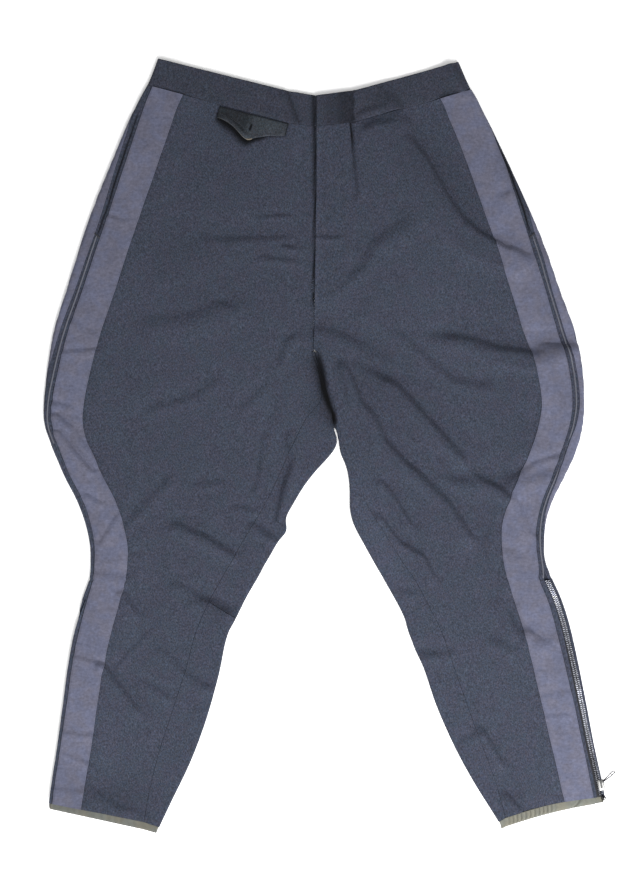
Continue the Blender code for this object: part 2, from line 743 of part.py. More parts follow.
def rod(name, radius, length, at, turn=0.0, lying=True, sides=20):
    """A round rod, lying along the turned X axis or standing."""
    mesh = bpy.data.meshes.new(name)
    shape = bmesh.new()
    bmesh.ops.create_cone(shape, cap_ends=True, segments=sides, radius1=radius * MM, radius2=radius * MM, depth=length * MM)
    shape.to_mesh(mesh)
    shape.free()
    mesh.shade_smooth()
    mesh.set_sharp_from_angle(angle=math.radians(40))
    obj = bpy.data.objects.new(name, mesh)
    GARMENT.objects.link(obj)
    obj.location = [v * MM for v in at]
    obj.rotation_euler = (0, math.pi / 2 if lying else 0, turn)
    return obj


def combine(base, others, operation):
    for other in others:
        helper(other, base.parent)
        made = base.modifiers.new(other.name, "BOOLEAN")
        made.operation, made.object = operation, other
    return base


def edge_place(leg, at, s):
    """A place in plan near a leg's outer edge, and the direction of the edge towards the waist there."""
    section, above = Section(leg, at), Section(leg, at - 0.3)
    run = above.plan(s) - section.plan(s)
    return section.plan(s), math.atan2(run[1], run[0])


def left_slider():
    """The slider on its chain, with the bail that its tab turns on."""
    leg = LEGS[1]
    width, length, thickness = SLIDER
    low = 7.85
    (x, y), along = edge_place(leg, SECTION["ankle"] + 0.2, 2.2)
    plate = keep(block("slider_l", (width, length, thickness), (x, y, low + thickness / 2), along - math.pi / 2, 0.35), "nickel")
    turn = math.radians(TAB_HEADING - 90)
    hinge = np.array((x + 2.2, y + 4.2, low + thickness + EYE_OUTER + SEAM))
    axis = np.array((math.cos(turn), math.sin(turn), 0))
    posts = []
    for k, side in enumerate((-1, 1)):
        at = hinge + axis * side * 2.0
        low_z, high_z = low + thickness - 0.4, hinge[2] + 0.9
        posts.append(block(f"post_{k}", (1.0, 1.8, high_z - low_z), (at[0], at[1], (low_z + high_z) / 2), turn))
    bar = rod("bail_bar", BAIL_RADIUS, 4.4, hinge, turn)
    return combine(plate, posts + [bar], "UNION"), hinge


def left_tab(hinge):
    """The pull tab, which has its origin on the bail's axis."""
    pivot = bpy.data.objects.new("tab_l_pivot", None)
    pivot.location = [v * MM for v in hinge]
    pivot.rotation_euler = (0, math.radians(TAB_SLOPE), math.radians(TAB_HEADING))
    pivot.rotation_mode = "XYZ"
    GARMENT.objects.link(pivot)
    pivot.parent = ORIGIN
    start = 2.9
    plate = block("pull_tab_l", (TAB_LENGTH - start, TAB_WIDTH, TAB_WALL), ((TAB_LENGTH + start) / 2, 0, 0), 0, 0.3)
    keep(plate, "nickel", pivot)
    neck = block("tab_neck", (start, 2.4, TAB_WALL), (start / 2 + 0.4, 0, 0))
    eye = rod("tab_eye", EYE_OUTER, 2.4, (0, 0, 0), math.pi / 2)
    hole = rod("tab_eye_hole", EYE_INNER, 4.0, (0, 0, 0), math.pi / 2)
    slot = block("tab_slot", (7.0, 1.6, 4.0), (TAB_LENGTH - 6.5, 0, 0))
    combine(plate, [neck, eye], "UNION")
    combine(plate, [hole, slot], "DIFFERENCE")
    return plate


def right_slider():
    """The covered zip's slider, with the post that its tab turns on."""
    leg = LEGS[0]
    low = WALL + STRIPE_WALL + LAID + 0.75
    (x, y), along = edge_place(leg, SECTION["ankle"] + 0.45, 4.5)
    plate = keep(block("slider_r", (6.2, 13.0, 1.5), (x, y, low + 0.75), along - math.pi / 2, 0.3), "nickel")
    post = rod("slider_r_post", 0.9, 1.9, (x, y, low + 1.5 + 0.55), 0, lying=False)
    combine(plate, [post], "UNION")
    pivot = bpy.data.objects.new("tab_r_pivot", None)
    pivot.location = (x * MM, y * MM, (low + 1.5 + 0.3 + 0.45) * MM)
    pivot.rotation_euler = (0, 0, along)
    GARMENT.objects.link(pivot)
    pivot.parent = ORIGIN
    tab = block("pull_tab_r", (TAB_LENGTH + 2.2, TAB_WIDTH, 0.9), ((TAB_LENGTH - 2.2) / 2, 0, 0), 0, 0.25)
    keep(tab, "nickel", pivot)
    hole = rod("tab_r_hole", 1.25, 4.0, (0, 0, 0), 0, lying=False)
    combine(tab, [hole], "DIFFERENCE")
    return plate


def hem_loop():
    (x, y), _ = edge_place(LEGS[1], SECTION["hem"], 2.0)
    bpy.ops.mesh.primitive_torus_add(major_radius=2.8 * MM, minor_radius=0.7 * MM, major_segments=20, minor_segments=8)
    ring = bpy.context.object
    ring.name = "hem_loop_l"
    ring.location = (x * MM, (y - 0.7) * MM, 8.45 * MM)
    ring.data.shade_smooth()
    return keep(ring, "black")


for leg in LEGS:
    front_panel(leg)
    back_panel(leg)
    calf_panel(leg)
    front_stripe(leg)
    back_stripe(leg)
    piping(leg)
    waistband(leg)
    hem_tape(leg)
    side_opening(leg)
watch_flap()
_, bail = left_slider()
left_tab(bail)
right_slider()
hem_loop()
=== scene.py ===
"""Looks of the riding breeches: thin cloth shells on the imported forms, with their folds, seams, trims and closings."""

import math

import bpy
import numpy as np
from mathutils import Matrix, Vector


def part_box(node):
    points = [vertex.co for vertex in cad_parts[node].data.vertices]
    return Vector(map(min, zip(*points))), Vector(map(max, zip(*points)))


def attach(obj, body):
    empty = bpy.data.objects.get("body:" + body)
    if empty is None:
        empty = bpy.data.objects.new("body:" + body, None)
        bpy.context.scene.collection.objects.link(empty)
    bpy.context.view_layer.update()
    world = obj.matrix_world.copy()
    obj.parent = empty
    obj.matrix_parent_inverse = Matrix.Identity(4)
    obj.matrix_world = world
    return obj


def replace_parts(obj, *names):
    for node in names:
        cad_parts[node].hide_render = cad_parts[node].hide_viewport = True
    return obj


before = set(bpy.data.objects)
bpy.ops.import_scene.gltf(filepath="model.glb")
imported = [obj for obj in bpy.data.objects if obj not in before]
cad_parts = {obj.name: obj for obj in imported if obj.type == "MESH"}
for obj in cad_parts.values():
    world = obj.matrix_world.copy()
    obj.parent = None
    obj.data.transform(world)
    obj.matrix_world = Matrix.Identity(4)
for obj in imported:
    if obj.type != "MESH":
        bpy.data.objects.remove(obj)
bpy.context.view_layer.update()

MM = 0.001

# Tables in millimetres from the front seam (across) and the fork (along), as in the part's source.
CENTRE_X, CENTRE_Y = -19.0, -0.2
WALL, BAND_WALL, TAPE_WALL, STRIPE_WALL = 1.5, 2.2, 1.0, 0.9
SEAM, LAID, CURL = 0.14, 0.5, 1.3
EDGE_GAP, MID_GAP, LEAST_GAP, MOST_GAP, PLACKET_GAP = 2.6, 1.9, 0.6, 8.5, 3.75
STRIPE_WIDTH, PIPING_WIDTH = 42.0, 2.2
BAND_UNDER, FLY_UNDER, FLY_STEP = 36.0, 30.0, 1.8
ZIP_WIDTH, ZIP_TAPE_REACH = 5.8, 22.0
ZIP_OPENING = (3.9, 10.4)

COLUMNS = ("outer_x", "outer_y", "mid_x", "mid_y", "inner_x", "inner_y", "seam", "stripe_out", "stripe_in")
# Each row is one section across a leg, from its folded outer edge over a middle point to its inner edge.
# Above the fork the inner point is on the front seam and the middle one only bends the section.
# Below it the middle point is on the inseam. seam, stripe_out and stripe_in are measured in from the outer edge.
LEG_R = (
    # section        outer_x, outer_y, mid_x, mid_y, inner_x, inner_y, seam, stripe_out, stripe_in
    ("waist_seam", 216.5, 469, 35, 420, -1.7, 416, 4.2, 7, 48),
    ("pocket_top", 243, 417, 38, 374, -2, 372, 8, 13, 54),
    ("pocket_mid", 265, 365, 40, 326, -1.6, 324, 12, 17, 58),
    ("pocket_tack", 286, 313, 43, 280, -0.8, 278, 16, 21, 61),
    ("hip", 304, 261, 44, 239, -0.3, 238, 16, 21, 62),
    ("fly_end", 322, 203, 44, 194, 0.5, 192, 15, 20, 62),
    ("seat", 338, 151, 38, 150, 1, 147, 13, 18, 61),
    ("fork", 346, 105, 4.4, 122, -0.2, 122, 9, 14, 57),
    ("wing", 352, 60, -9, 66, -18, 62, 6, 11, 53),
    ("gap_top", 351, 27, 12, 35, -22, 27, 4.5, 10, 50),
    ("wing_low", 339, -5, 31, -3, -23, -1, 4, 8, 48),
    ("thigh_top", 325, -38, 47, -39, 4, -34, 4, 8, 50),
    ("thigh_mid", 308, -70, 62, -70, 25, -70, 4, 8, 50),
    ("thigh_low", 297, -99, 78, -98, 42, -101, 4, 7, 49),
    ("knee_top", 291, -129, 98, -131, 51, -129, 4, 6, 49),
    ("knee", 291, -155, 112, -156, 66, -156, 4, 5, 48),
    ("knee_notch", 293, -174, 122, -174, 77, -176, 4, 4.7, 47),
    ("cross_seam", 302, -200, 138, -203, 106, -222, 4, 6.6, 49),
    ("below_knee", 312, -239, 155, -243, 116, -255, 0.6, 6, 48),
    ("calf_top", 321, -285, 167, -287, 125, -299, 0.6, 6, 47),
    ("calf", 328, -337, 185, -344, 142, -359, 0.6, 5.5, 45),
    ("calf_low", 335, -389, 201, -393, 162, -412, 0.6, 5, 45),
    ("ankle", 342, -434, 214, -443, 187, -464, 0.6, 5, 44),
    ("hem", 346, -464, 222, -489, 202, -496, 0.6, 5, 43),
    ("tape_end", 346, -472, 222, -499, 205, -504, 0.6, 5, 43),
)
LEG_L = (
    ("waist_seam", 203, 463, 51, 421, 1.9, 416, 3.1, 3.4, 42),
    ("pocket_top", 228, 417, 47, 374, 2.2, 372, 3.1, 3.5, 46),
    ("pocket_mid", 253, 365, 47, 326, 1.8, 324, 3.6, 5.2, 51),
    ("pocket_tack", 276, 313, 47, 280, 1, 278, 7, 10.5, 56),
    ("hip", 298, 261, 47, 239, 0.4, 238, 10, 16, 60),
    ("fly_end", 318, 203, 44, 194, -0.4, 192, 13, 18, 63),
    ("seat", 337, 151, 38, 150, -1, 147, 16, 22, 66),
    ("fork", 347, 105, 4.9, 122, 0.3, 122, 12, 18, 61),
    ("wing", 350, 60, 24.5, 60, 20, 60, 10, 15, 55),
    ("gap_top", 348, 27, 30.5, 31, 26, 29, 12, 17, 57),
    ("wing_low", 340, -5, 38.5, -1, 34, -2, 14, 19, 59),
    ("thigh_top", 325, -38, 47.5, -34, 43, -35, 11, 16, 58),
    ("thigh_mid", 309, -70, 66, -72, 47, -69, 8, 13, 56),
    ("thigh_low", 300, -99, 83, -100, 50, -99, 6, 11, 56),
    ("knee_top", 298, -129, 101, -129, 65, -129, 5, 10, 55),
    ("knee", 301, -155, 117, -155, 80, -156, 5, 10, 55),
    ("knee_notch", 309, -174, 131, -175, 91, -175, 10.4, 17, 58),
    ("cross_seam", 320, -200, 147, -205, 116, -222, 10.8, 18, 61),
    ("below_knee", 332, -239, 164, -239, 123, -252, 11.5, 19, 61),
    ("calf_top", 343, -285, 181, -287, 141, -287, 11.5, 18, 60),
    ("calf", 353, -337, 199, -339, 159, -339, 11, 16, 58),
    ("calf_low", 362, -389, 218, -389, 183, -393, 10.6, 15, 56),
    ("ankle", 372, -434, 235, -436, 207, -437, 10.4, 15, 55),
    ("hem", 377, -456, 248, -485, 239, -489, 10.4, 15, 54),
    ("tape_end", 376, -464, 248, -496, 242, -499, 10.4, 15, 54),
)
SECTION = {row[0]: index for index, row in enumerate(LEG_R)}
BAND_TOP_R = ("band_top", 204, 504, 35, 462, -1.7, 456, 4.2, 7, 48)
BAND_TOP_L = ("band_top", 187, 500, 54, 463, 1.9, 456, 4.2, 7, 42)

FLAP_START, FLAP_END = (-123.5, 442.0), (-33.8, 418.8)
FLAP = (
    # along, depth, lift
    (0, 15.4, 1.6),
    (9, 16.4, 2.2),
    (17, 18.7, 2.5),
    (24, 22, 2.6),
    (30, 25.8, 2.6),
    (37, 30.4, 2.4),
    (42.5, 33.3, 2.0),
    (47.5, 33.2, 1.5),
    (54, 29.2, 1.0),
    (62, 25.6, 0.8),
    (71, 21.6, 0.5),
    (77, 20.1, 0.4),
    (92.4, 16, 0.4),
)
BUTTONHOLE = (-83.2, 414.0, 0.9, 9.0)  # middle x, middle y, width, length

# Horizontal way to the main light.
LIT_FROM = (0.37, -0.93)

CREASE_GAIN, STEEPEST = 1.25, 1.2

# Creases as paths of points: x and y (x signed here), half width, and how steep the slope between trough and ridge is.
CREASES = {
    "fly_foot_l": ((23, 203, 10.4, 0.23), (62, 235, 11.7, 0.32), (75, 265, 15.6, 0.32), (112, 291, 19.5, 0.19)),
    "hip_long_l": ((83, 419, 16.9, 0.24), (108, 398, 19.5, 0.69), (138, 372, 20.8, 0.95), (164, 333, 19.5, 0.86), (192, 291, 15.6, 1.15), (222, 273, 13, 1.3), (242, 257, 10.4, 0.95)),
    "wing_l": ((155, 143, 10.4, 0.26), (209, 144, 11.7, 0.41), (248, 131, 14.3, 0.62), (281, 116, 14.3, 0.62)),
    "wing_stripe_l": ((280, 138, 7.8, 1.27), (313, 134, 7.8, 1.13), (342, 131, 6.5, 0.84)),
    "rise_top_l": ((112, 147, 9.1, 0.18), (153, 109, 7.8, 0.29), (183, 86, 9.1, 0.24), (224, 78, 10.4, 0.15)),
    "rise_mid_l": ((73, 98, 7.8, 0.35), (108, 77, 9.1, 0.68), (134, 51, 10.4, 0.4), (164, 18, 10.4, 0.4), (183, -8, 9.1, 0.4), (222, -42, 9.1, 0.72), (251, -64, 7.8, 0.6)),
    "rise_low_l": ((42, 104, 7.8, 0.83), (60, 60, 10.4, 1.11), (82, 38, 10.4, 1.21), (91, 8, 10.4, 1.3), (118, -21, 10.4, 1.3), (151, -51, 10.4, 1.3), (177, -74, 11.7, 1), (204, -113, 14.3, 0.5)),
    "inner_short_l": ((92, -49, 6.5, 1.3), (109, -72, 6.5, 1.3), (125, -99, 7.8, 0.85)),
    "inner_seam_l": ((86, -92, 5.9, 0.63), (112, -125, 6.5, 0.76), (143, -142, 7.8, 0.81), (157, -169, 9.1, 0.35)),
    "fork_arc_l": ((10, 155, 9.1, 0.15), (38, 147, 10.4, 0.14), (68, 134, 11.7, 0.1)),
    "calf_short_l": ((136, -272, 9.1, 0.59), (178, -268, 9.1, 0.26)),
    "calf_back_l": ((191, -384, 6.5, 0.27), (220, -372, 6.5, 0.21)),
    "calf_low_l": ((221, -370, 9.1, 0.56), (246, -411, 9.1, 0.42)),
    "hem_l": ((255, -456, 7.8, 1.26), (270, -474, 9.1, 1.3)),
    "knee_edge_l": ((260, -213, 7.8, 0.26), (273, -246, 7.8, 0.41)),
    "knee_stripe_l": ((273, -240, 6.5, 0.09), (306, -250, 6.5, 0.08)),
    "knee_back_l": ((104, -191, 6.5, 0.62), (126, -190, 6.5, 0.42)),
    "knee_soft_l": ((234, -252, 10.4, 0.26), (259, -263, 10.4, 0.24)),
    "calf_soft_l": ((190, -304, 10.4, 0.06), (209, -346, 10.4, 0.08)),
    "stripe_knee_l": ((243, -135, 6.5, 0.14), (269, -144, 6.5, 0.09)),
    "stripe_long_l": ((264, -73, 5.2, 0.6), (281, -114, 5.2, 0.54)),
    "stripe_calf_l": ((296, -325, 6.5, 0.15), (330, -320, 6.5, 0.15)),
    "stripe_calf2_l": ((300, -351, 4.5, 0.29), (330, -350, 4.5, 0.29)),
    "stripe_wing_l": ((260, -38, 6.5, 0.37), (287, -22, 6.5, 0.49), (317, -13, 5.9, 0.46)),
    "stripe_wing2_l": ((289, 1, 5.2, 0.03), (315, 13, 5.2, 0.03)),
    "stripe_top_l": ((222, 315, 6.5, 0.36), (252, 329, 6.5, 0.41)),
    "stripe_hip_l": ((240, 272, 7.8, 0.16), (265, 260, 7.8, 0.19), (290, 256, 6.5, 0.14)),
    "stripe_seat_l": ((268, 188, 6.5, 0.03), (285, 207, 6.5, 0.03)),
    "stripe_low_l": ((328, -408, 5.2, 0.03), (335, -447, 5.2, 0.03)),
    "dart_l": ((47, 421, 4.5, 0.96), (52, 367, 5.2, 0.96), (56, 329, 6.5, 0.54)),
    "band_end_l": ((176, 502, 6.5, 1.3), (198, 460, 6.5, 1.3)),
    "band_soft_l": ((60, 436, 6.5, 0.24), (90, 441, 6.5, 0.19)),
    "waist_soft_l": ((68, 416, 9.1, 0.36), (114, 422, 10.4, 0.32)),
    "fly_short_l": ((1, 273, 4.5, 1.3), (16, 272, 5.2, 1.3), (31, 272, 5.2, 1.3)),
    "fly_top_r": ((-69, 298, 3.9, 0.63), (-44, 300, 4.2, 0.92), (-25, 300, 3.9, 0.51)),
    "fly_mid_r": ((-144, 274, 9.1, 0.2), (-107, 270, 9.1, 0.39), (-36, 273, 7.8, 0.32)),
    "fly_low_r": ((-39, 260, 4.2, 1.3), (-10, 255, 4.5, 1.3)),
    "fly_foot_r": ((-69, 246, 5.2, 0.42), (-14, 239, 6.5, 0.44)),
    "hip_spot_r": ((-140, 195, 7.8, 0.16), (-107, 179, 7.8, 0.23)),
    "hip_spot2_r": ((-172, 155, 9.1, 0.03), (-143, 177, 9.1, 0.04)),
    "wing_r": ((-214, 49, 9.1, 0.2), (-159, 64, 9.1, 0.22), (-126, 86, 10.4, 0.12)),
    "thigh_soft_r": ((-91, 53, 9.1, 0.2), (-65, 78, 9.1, 0.16)),
    "fork_arc_r": ((-48, 105, 6.5, 0.39), (-36, 138, 7.8, 0.39), (-10, 155, 7.8, 0.39)),
    "inner_soft_r": ((-66, -9, 9.1, 0.06), (-57, 31, 9.1, 0.07), (-39, 64, 10.4, 0.05)),
    "inner_line_r": ((-77, -56, 4.5, 0.35), (-70, -18, 5.2, 0.27), (-68, 13, 6.5, 0.13)),
    "inner_edge_r": ((-38, 10, 7.8, 0.37), (-31, -21, 9.1, 0.5), (-43, -57, 9.1, 0.74), (-48, -91, 6.5, 0.56)),
    "notch_r": ((-77, -103, 6.5, 1.18), (-62, -113, 7.8, 1.3), (-47, -125, 6.5, 1.3)),
    "knee_r": ((-182, -98, 7.8, 0.08), (-148, -112, 7.8, 0.14), (-122, -129, 7.8, 0.19), (-101, -140, 6.5, 0.08)),
    "cross_r": ((-164, -202, 10.4, 0.15), (-129, -200, 9.1, 0.3), (-110, -213, 9.1, 0.48), (-99, -222, 7.8, 0.43)),
    "thigh_edge_r": ((-191, -43, 10.4, 0.23), (-213, -65, 10.4, 0.23), (-244, -100, 9.1, 0.18)),
    "calf_up_r": ((-259, -289, 5.2, 0.28), (-237, -263, 5.2, 0.22), (-212, -238, 5.2, 0.14)),
    "calf_down_r": ((-274, -287, 7.8, 0.67), (-252, -312, 9.1, 1.01), (-228, -342, 9.1, 0.71)),
    "calf_spot_r": ((-221, -306, 6.5, 0.23), (-191, -325, 7.8, 0.36)),
    "calf_mid_r": ((-195, -265, 7.8, 0.21), (-170, -292, 7.8, 0.28), (-140, -313, 9.1, 0.42)),
    "calf_side_r": ((-169, -325, 6.5, 0.07), (-144, -350, 6.5, 0.08)),
    "calf_low_r": ((-208, -406, 6.5, 0.04), (-191, -372, 6.5, 0.04)),
    "hem_r": ((-283, -447, 7.8, 0.21), (-259, -468, 9.1, 0.5), (-235, -474, 7.8, 0.42), (-213, -486, 6.5, 0.31)),
    "knee_soft_r": ((-247, -192, 6.5, 0.58), (-231, -216, 6.5, 0.63)),
    "thigh_top_r": ((-152, -48, 7.8, 0.3), (-120, -46, 7.8, 0.23)),
    "thigh_spot_r": ((-100, -79, 6.5, 0.35), (-78, -84, 6.5, 0.26)),
    "stripe_top_r": ((-266, 298, 3.9, 0.5), (-248, 292, 3.9, 0.38)),
    "stripe_hip_r": ((-315, 162, 6.5, 0.19), (-287, 147, 6.5, 0.15)),
    "stripe_seat_r": ((-325, 122, 4.5, 0.41), (-283, 125, 5.2, 0.47)),
    "stripe_wing_r": ((-339, 55, 5.2, 0.48), (-318, 51, 5.2, 0.21)),
    "stripe_wing2_r": ((-334, 39, 5.2, 1.3), (-321, 27, 5.2, 1.22)),
    "stripe_bend_r": ((-332, 17, 4.9, 1.3), (-315, -5, 5.5, 1.3), (-292, -31, 5.2, 1.18)),
    "stripe_bend2_r": ((-313, 21, 5.2, 0.34), (-283, -22, 5.2, 0.24)),
    "stripe_thigh_r": ((-296, -64, 5.2, 0.36), (-278, -75, 5.2, 0.36)),
    "stripe_knee_r": ((-277, -125, 5.2, 0.33), (-257, -91, 5.2, 0.3)),
    "stripe_notch_r": ((-290, -165, 7.8, 0.21), (-243, -170, 7.8, 0.18)),
    "stripe_thin_r": ((-282, -214, 4.2, 0.05), (-264, -243, 4.2, 0.07)),
    "stripe_thin2_r": ((-309, -256, 4.2, 0.35), (-292, -259, 4.2, 0.35)),
    "stripe_calf_r": ((-308, -273, 5.2, 0.51), (-273, -285, 5.2, 0.67)),
    "stripe_low_r": ((-329, -370, 6.5, 0.39), (-287, -376, 6.5, 0.31)),
    "stripe_low2_r": ((-332, -395, 4.2, 0.55), (-290, -415, 4.2, 0.61)),
    "stripe_hem_r": ((-338, -443, 6.5, 0.29), (-306, -448, 6.5, 0.29)),
    "broad_hip_l": ((118, 438, 30, 0.56), (153, 382, 32, 0.94), (181, 320, 30, 0.94), (216, 278, 26, 0.75), (268, 252, 20, 0.56)),
    "broad_wing_l": ((183, 144, 18, 0.38), (242, 125, 19, 0.59), (300, 127, 16, 0.81), (342, 130, 13, 0.92)),
    "broad_fork_l": ((-12, 157, 15, 0.17), (27, 148, 16, 0.2), (66, 131, 16, 0.17), (105, 109, 15, 0.13), (144, 79, 14, 0.1)),
    "broad_inner_l": ((47, 101, 12, 0.24), (62, 60, 15, 0.32), (92, 14, 17, 0.36), (125, -21, 17, 0.28), (177, -42, 17, 0.24), (242, -47, 17, 0.22), (300, -36, 15, 0.15)),
    "broad_thigh_l": ((105, 88, 12, 0.39), (151, 34, 14, 0.57), (196, -8, 14, 0.39)),
    "broad_hip_r": ((-213, 164, 22, 0.16), (-161, 174, 24, 0.27), (-109, 190, 24, 0.19)),
    "broad_seat_r": ((-150, 262, 22, 0.09), (-92, 268, 22, 0.09), (-30, 262, 18, 0.09)),
    "broad_knee_r": ((-177, -101, 11, 0.4), (-142, -116, 12, 0.62), (-107, -138, 11, 0.49)),
    "broad_cross_r": ((-177, -178, 11, 0.24), (-142, -196, 12, 0.45), (-103, -219, 11, 0.51)),
    "broad_calf_l": ((250, -205, 13, 0.18), (266, -238, 14, 0.33), (296, -254, 13, 0.23)),
    "band_fold_l": ((55, 430, 4.2, 0.28), (68, 436, 4.5, 0.28), (84, 440, 4.2, 0.19)),
    "waist_r": ((-36, 455, 5.2, 0.95), (-29, 439, 5.2, 1.07), (-22, 421, 5.2, 1.07)),
}


# ---------------------------------------------------------------- relief


def smooth(value):
    value = np.clip(value, 0.0, 1.0)
    return value * value * (3 - 2 * value)


def soft_least(value, least, ease=0.35):
    """The value, eased so that it doesn't go under the least one."""
    return least + ease * np.logaddexp(0, (value - least) / ease)


SHUFFLED = np.random.default_rng(7).permutation(256)
HEADINGS = np.random.default_rng(11).uniform(0, 2 * math.pi, 256)


def wander(x, y, size, seed=0):
    """Smooth noise from about -1 to 1, with features of this size."""
    u, v = x / size + 31.7 * seed, y / size - 17.3 * seed
    cu, cv = np.floor(u).astype(int), np.floor(v).astype(int)
    fu, fv = u - cu, v - cv

    def corner(du, dv):
        pick = SHUFFLED[(SHUFFLED[(cu + du + seed * 13) % 256] + cv + dv) % 256]
        angle = HEADINGS[pick]
        return np.cos(angle) * (fu - du) + np.sin(angle) * (fv - dv)

    eu, ev = fu**3 * (fu * (fu * 6 - 15) + 10), fv**3 * (fv * (fv * 6 - 15) + 10)
    low = corner(0, 0) * (1 - eu) + corner(1, 0) * eu
    high = corner(0, 1) * (1 - eu) + corner(1, 1) * eu
    return (low * (1 - ev) + high * ev) * 1.5


def crease(path, x, y):
    """Height of one crease: a trough along its path's upper side and a ridge along its lower side."""
    path = np.array(path, float)
    reach = 3.2 * path[:, 2].max()
    near = (x > path[:, 0].min() - reach) & (x < path[:, 0].max() + reach)
    near &= (y > path[:, 1].min() - reach) & (y < path[:, 1].max() + reach)
    found = np.zeros(x.shape)
    if not near.any():
        return found
    px, py = x[near], y[near]
    best = np.full(px.shape, 1e9)
    off, width, steep = np.zeros(px.shape), np.ones(px.shape), np.zeros(px.shape)
    turn, total = 0.0, 0.0
    last = len(path) - 2
    for k in range(len(path) - 1):
        a, b = path[k], path[k + 1]
        run = b[:2] - a[:2]
        length = float(np.hypot(*run))
        run = run / length
        facing = (-run[1], run[0])
        turn += length * (facing[0] * LIT_FROM[0] + facing[1] * LIT_FROM[1])
        total += length
        along = (px - a[0]) * run[0] + (py - a[1]) * run[1]
        across = (px - a[0]) * facing[0] + (py - a[1]) * facing[1]
        held = np.clip(along, 0 if k else -1e9, length if k < last else 1e9)
        distance = np.hypot(along - held, across)
        past = np.maximum(np.maximum(-along if k == 0 else 0 * along, along - length if k == last else 0 * along), 0)
        score = distance + past
        take = score < best
        share = np.clip(along / length, 0, 1)
        w = a[2] + (b[2] - a[2]) * share
        best = np.where(take, score, best)
        off = np.where(take, distance * np.where(across < 0, -1, 1), off)
        width = np.where(take, w, width)
        steep = np.where(take, (a[3] + (b[3] - a[3]) * share) * np.exp(-((past / (0.75 * w)) ** 2)), steep)
    turn /= total
    side = 1 if turn >= 0 else -1
    # A crease that runs with the light needs more height to read.
    gain = 1 / max(abs(turn), 0.45)
    u = side * off / width
    steep = STEEPEST * np.tanh(gain * CREASE_GAIN * steep / STEEPEST)
    found[near] = steep * width * u * np.exp(-(u**2))
    return found


def relief(x, y):
    """Height that creases and the lie of the cloth add at a place."""
    total = np.zeros(x.shape)
    for path in CREASES.values():
        total += crease(path, x, y)
    lie = 0.34 * wander(x, y, 74, 1) + 0.2 * wander(x, y * 1.3, 37, 2) + 0.085 * wander(x * 1.2, y, 17, 3)
    return total + lie


def hollow(x, y):
    """How far the underside stands off what it lies on."""
    total = np.zeros(x.shape)
    for path in HOLLOWS:
        path = np.array(path, float)
        best, height = np.full(x.shape, 1e9), np.zeros(x.shape)
        last = len(path) - 2
        for k in range(len(path) - 1):
            a, b = path[k], path[k + 1]
            run = b[:2] - a[:2]
            length = float(np.hypot(*run))
            run = run / length
            along = (x - a[0]) * run[0] + (y - a[1]) * run[1]
            across = (x - a[0]) * -run[1] + (y - a[1]) * run[0]
            share = np.clip(along / length, 0, 1)
            past = np.maximum(along - length, 0) + np.maximum(-along, 0)
            width = a[2] + (b[2] - a[2]) * share
            distance = np.hypot(across, past) / width
            take = distance < best
            best = np.where(take, distance, best)
            ends = np.exp(-((past / (1.6 * width)) ** 2))
            height = np.where(take, (a[3] + (b[3] - a[3]) * share) * ends, height)
        total += height * np.exp(-(best**2))
    return np.minimum(total * (0.82 + 0.3 * wander(x, y, 41, 14)), 1.05)


# ---------------------------------------------------------------- sections


def rows_through(table, at):
    """Rows of a table at places between its own rows, on a curve through them all."""
    rows = np.array([row[1:] for row in table], float)
    last = len(rows) - 1
    k = np.minimum(at.astype(int), last - 1)
    f = (at - k)[:, None]
    a, b = rows[k], rows[k + 1]
    before = np.where((k == 0)[:, None], 2 * a - b, rows[np.maximum(k - 1, 0)])
    after = np.where((k + 2 <= last)[:, None], rows[np.minimum(k + 2, last)], 2 * b - a)
    return 0.5 * (2 * a + (b - before) * f + (2 * before - 5 * a + 4 * b - after) * f**2 + (3 * a - before - 3 * b + after) * f**3)


# Where folds push a leg's inner edge out: leg, place, reach along, and how far, inwards positive.
BULGES = (
    ("r", 13.3, 0.42, 8.3), ("r", 10.8, 0.6, 4.4), ("r", 9.75, 0.7, 4.0), ("r", 17.0, 0.55, 4.3),
    ("l", 12.3, 0.5, 2.0), ("l", 10.2, 0.4, 2.2), ("l", 18.0, 0.45, -2.6),
)
# Small steps in a leg's folded outer edge: leg, place, reach along, and how far in.
STEPS = (
    ("r", 16.03, 0.07, 1.4), ("l", 17.6, 1.1, -1.2), ("l", 15.8, 0.12, 0.8),
    ("r", 12.7, 2.2, -1.7), ("l", 21.3, 1.3, -1.5), ("r", 0.35, 0.5, -1.8), ("l", 0.2, 0.25, -1.2),
)
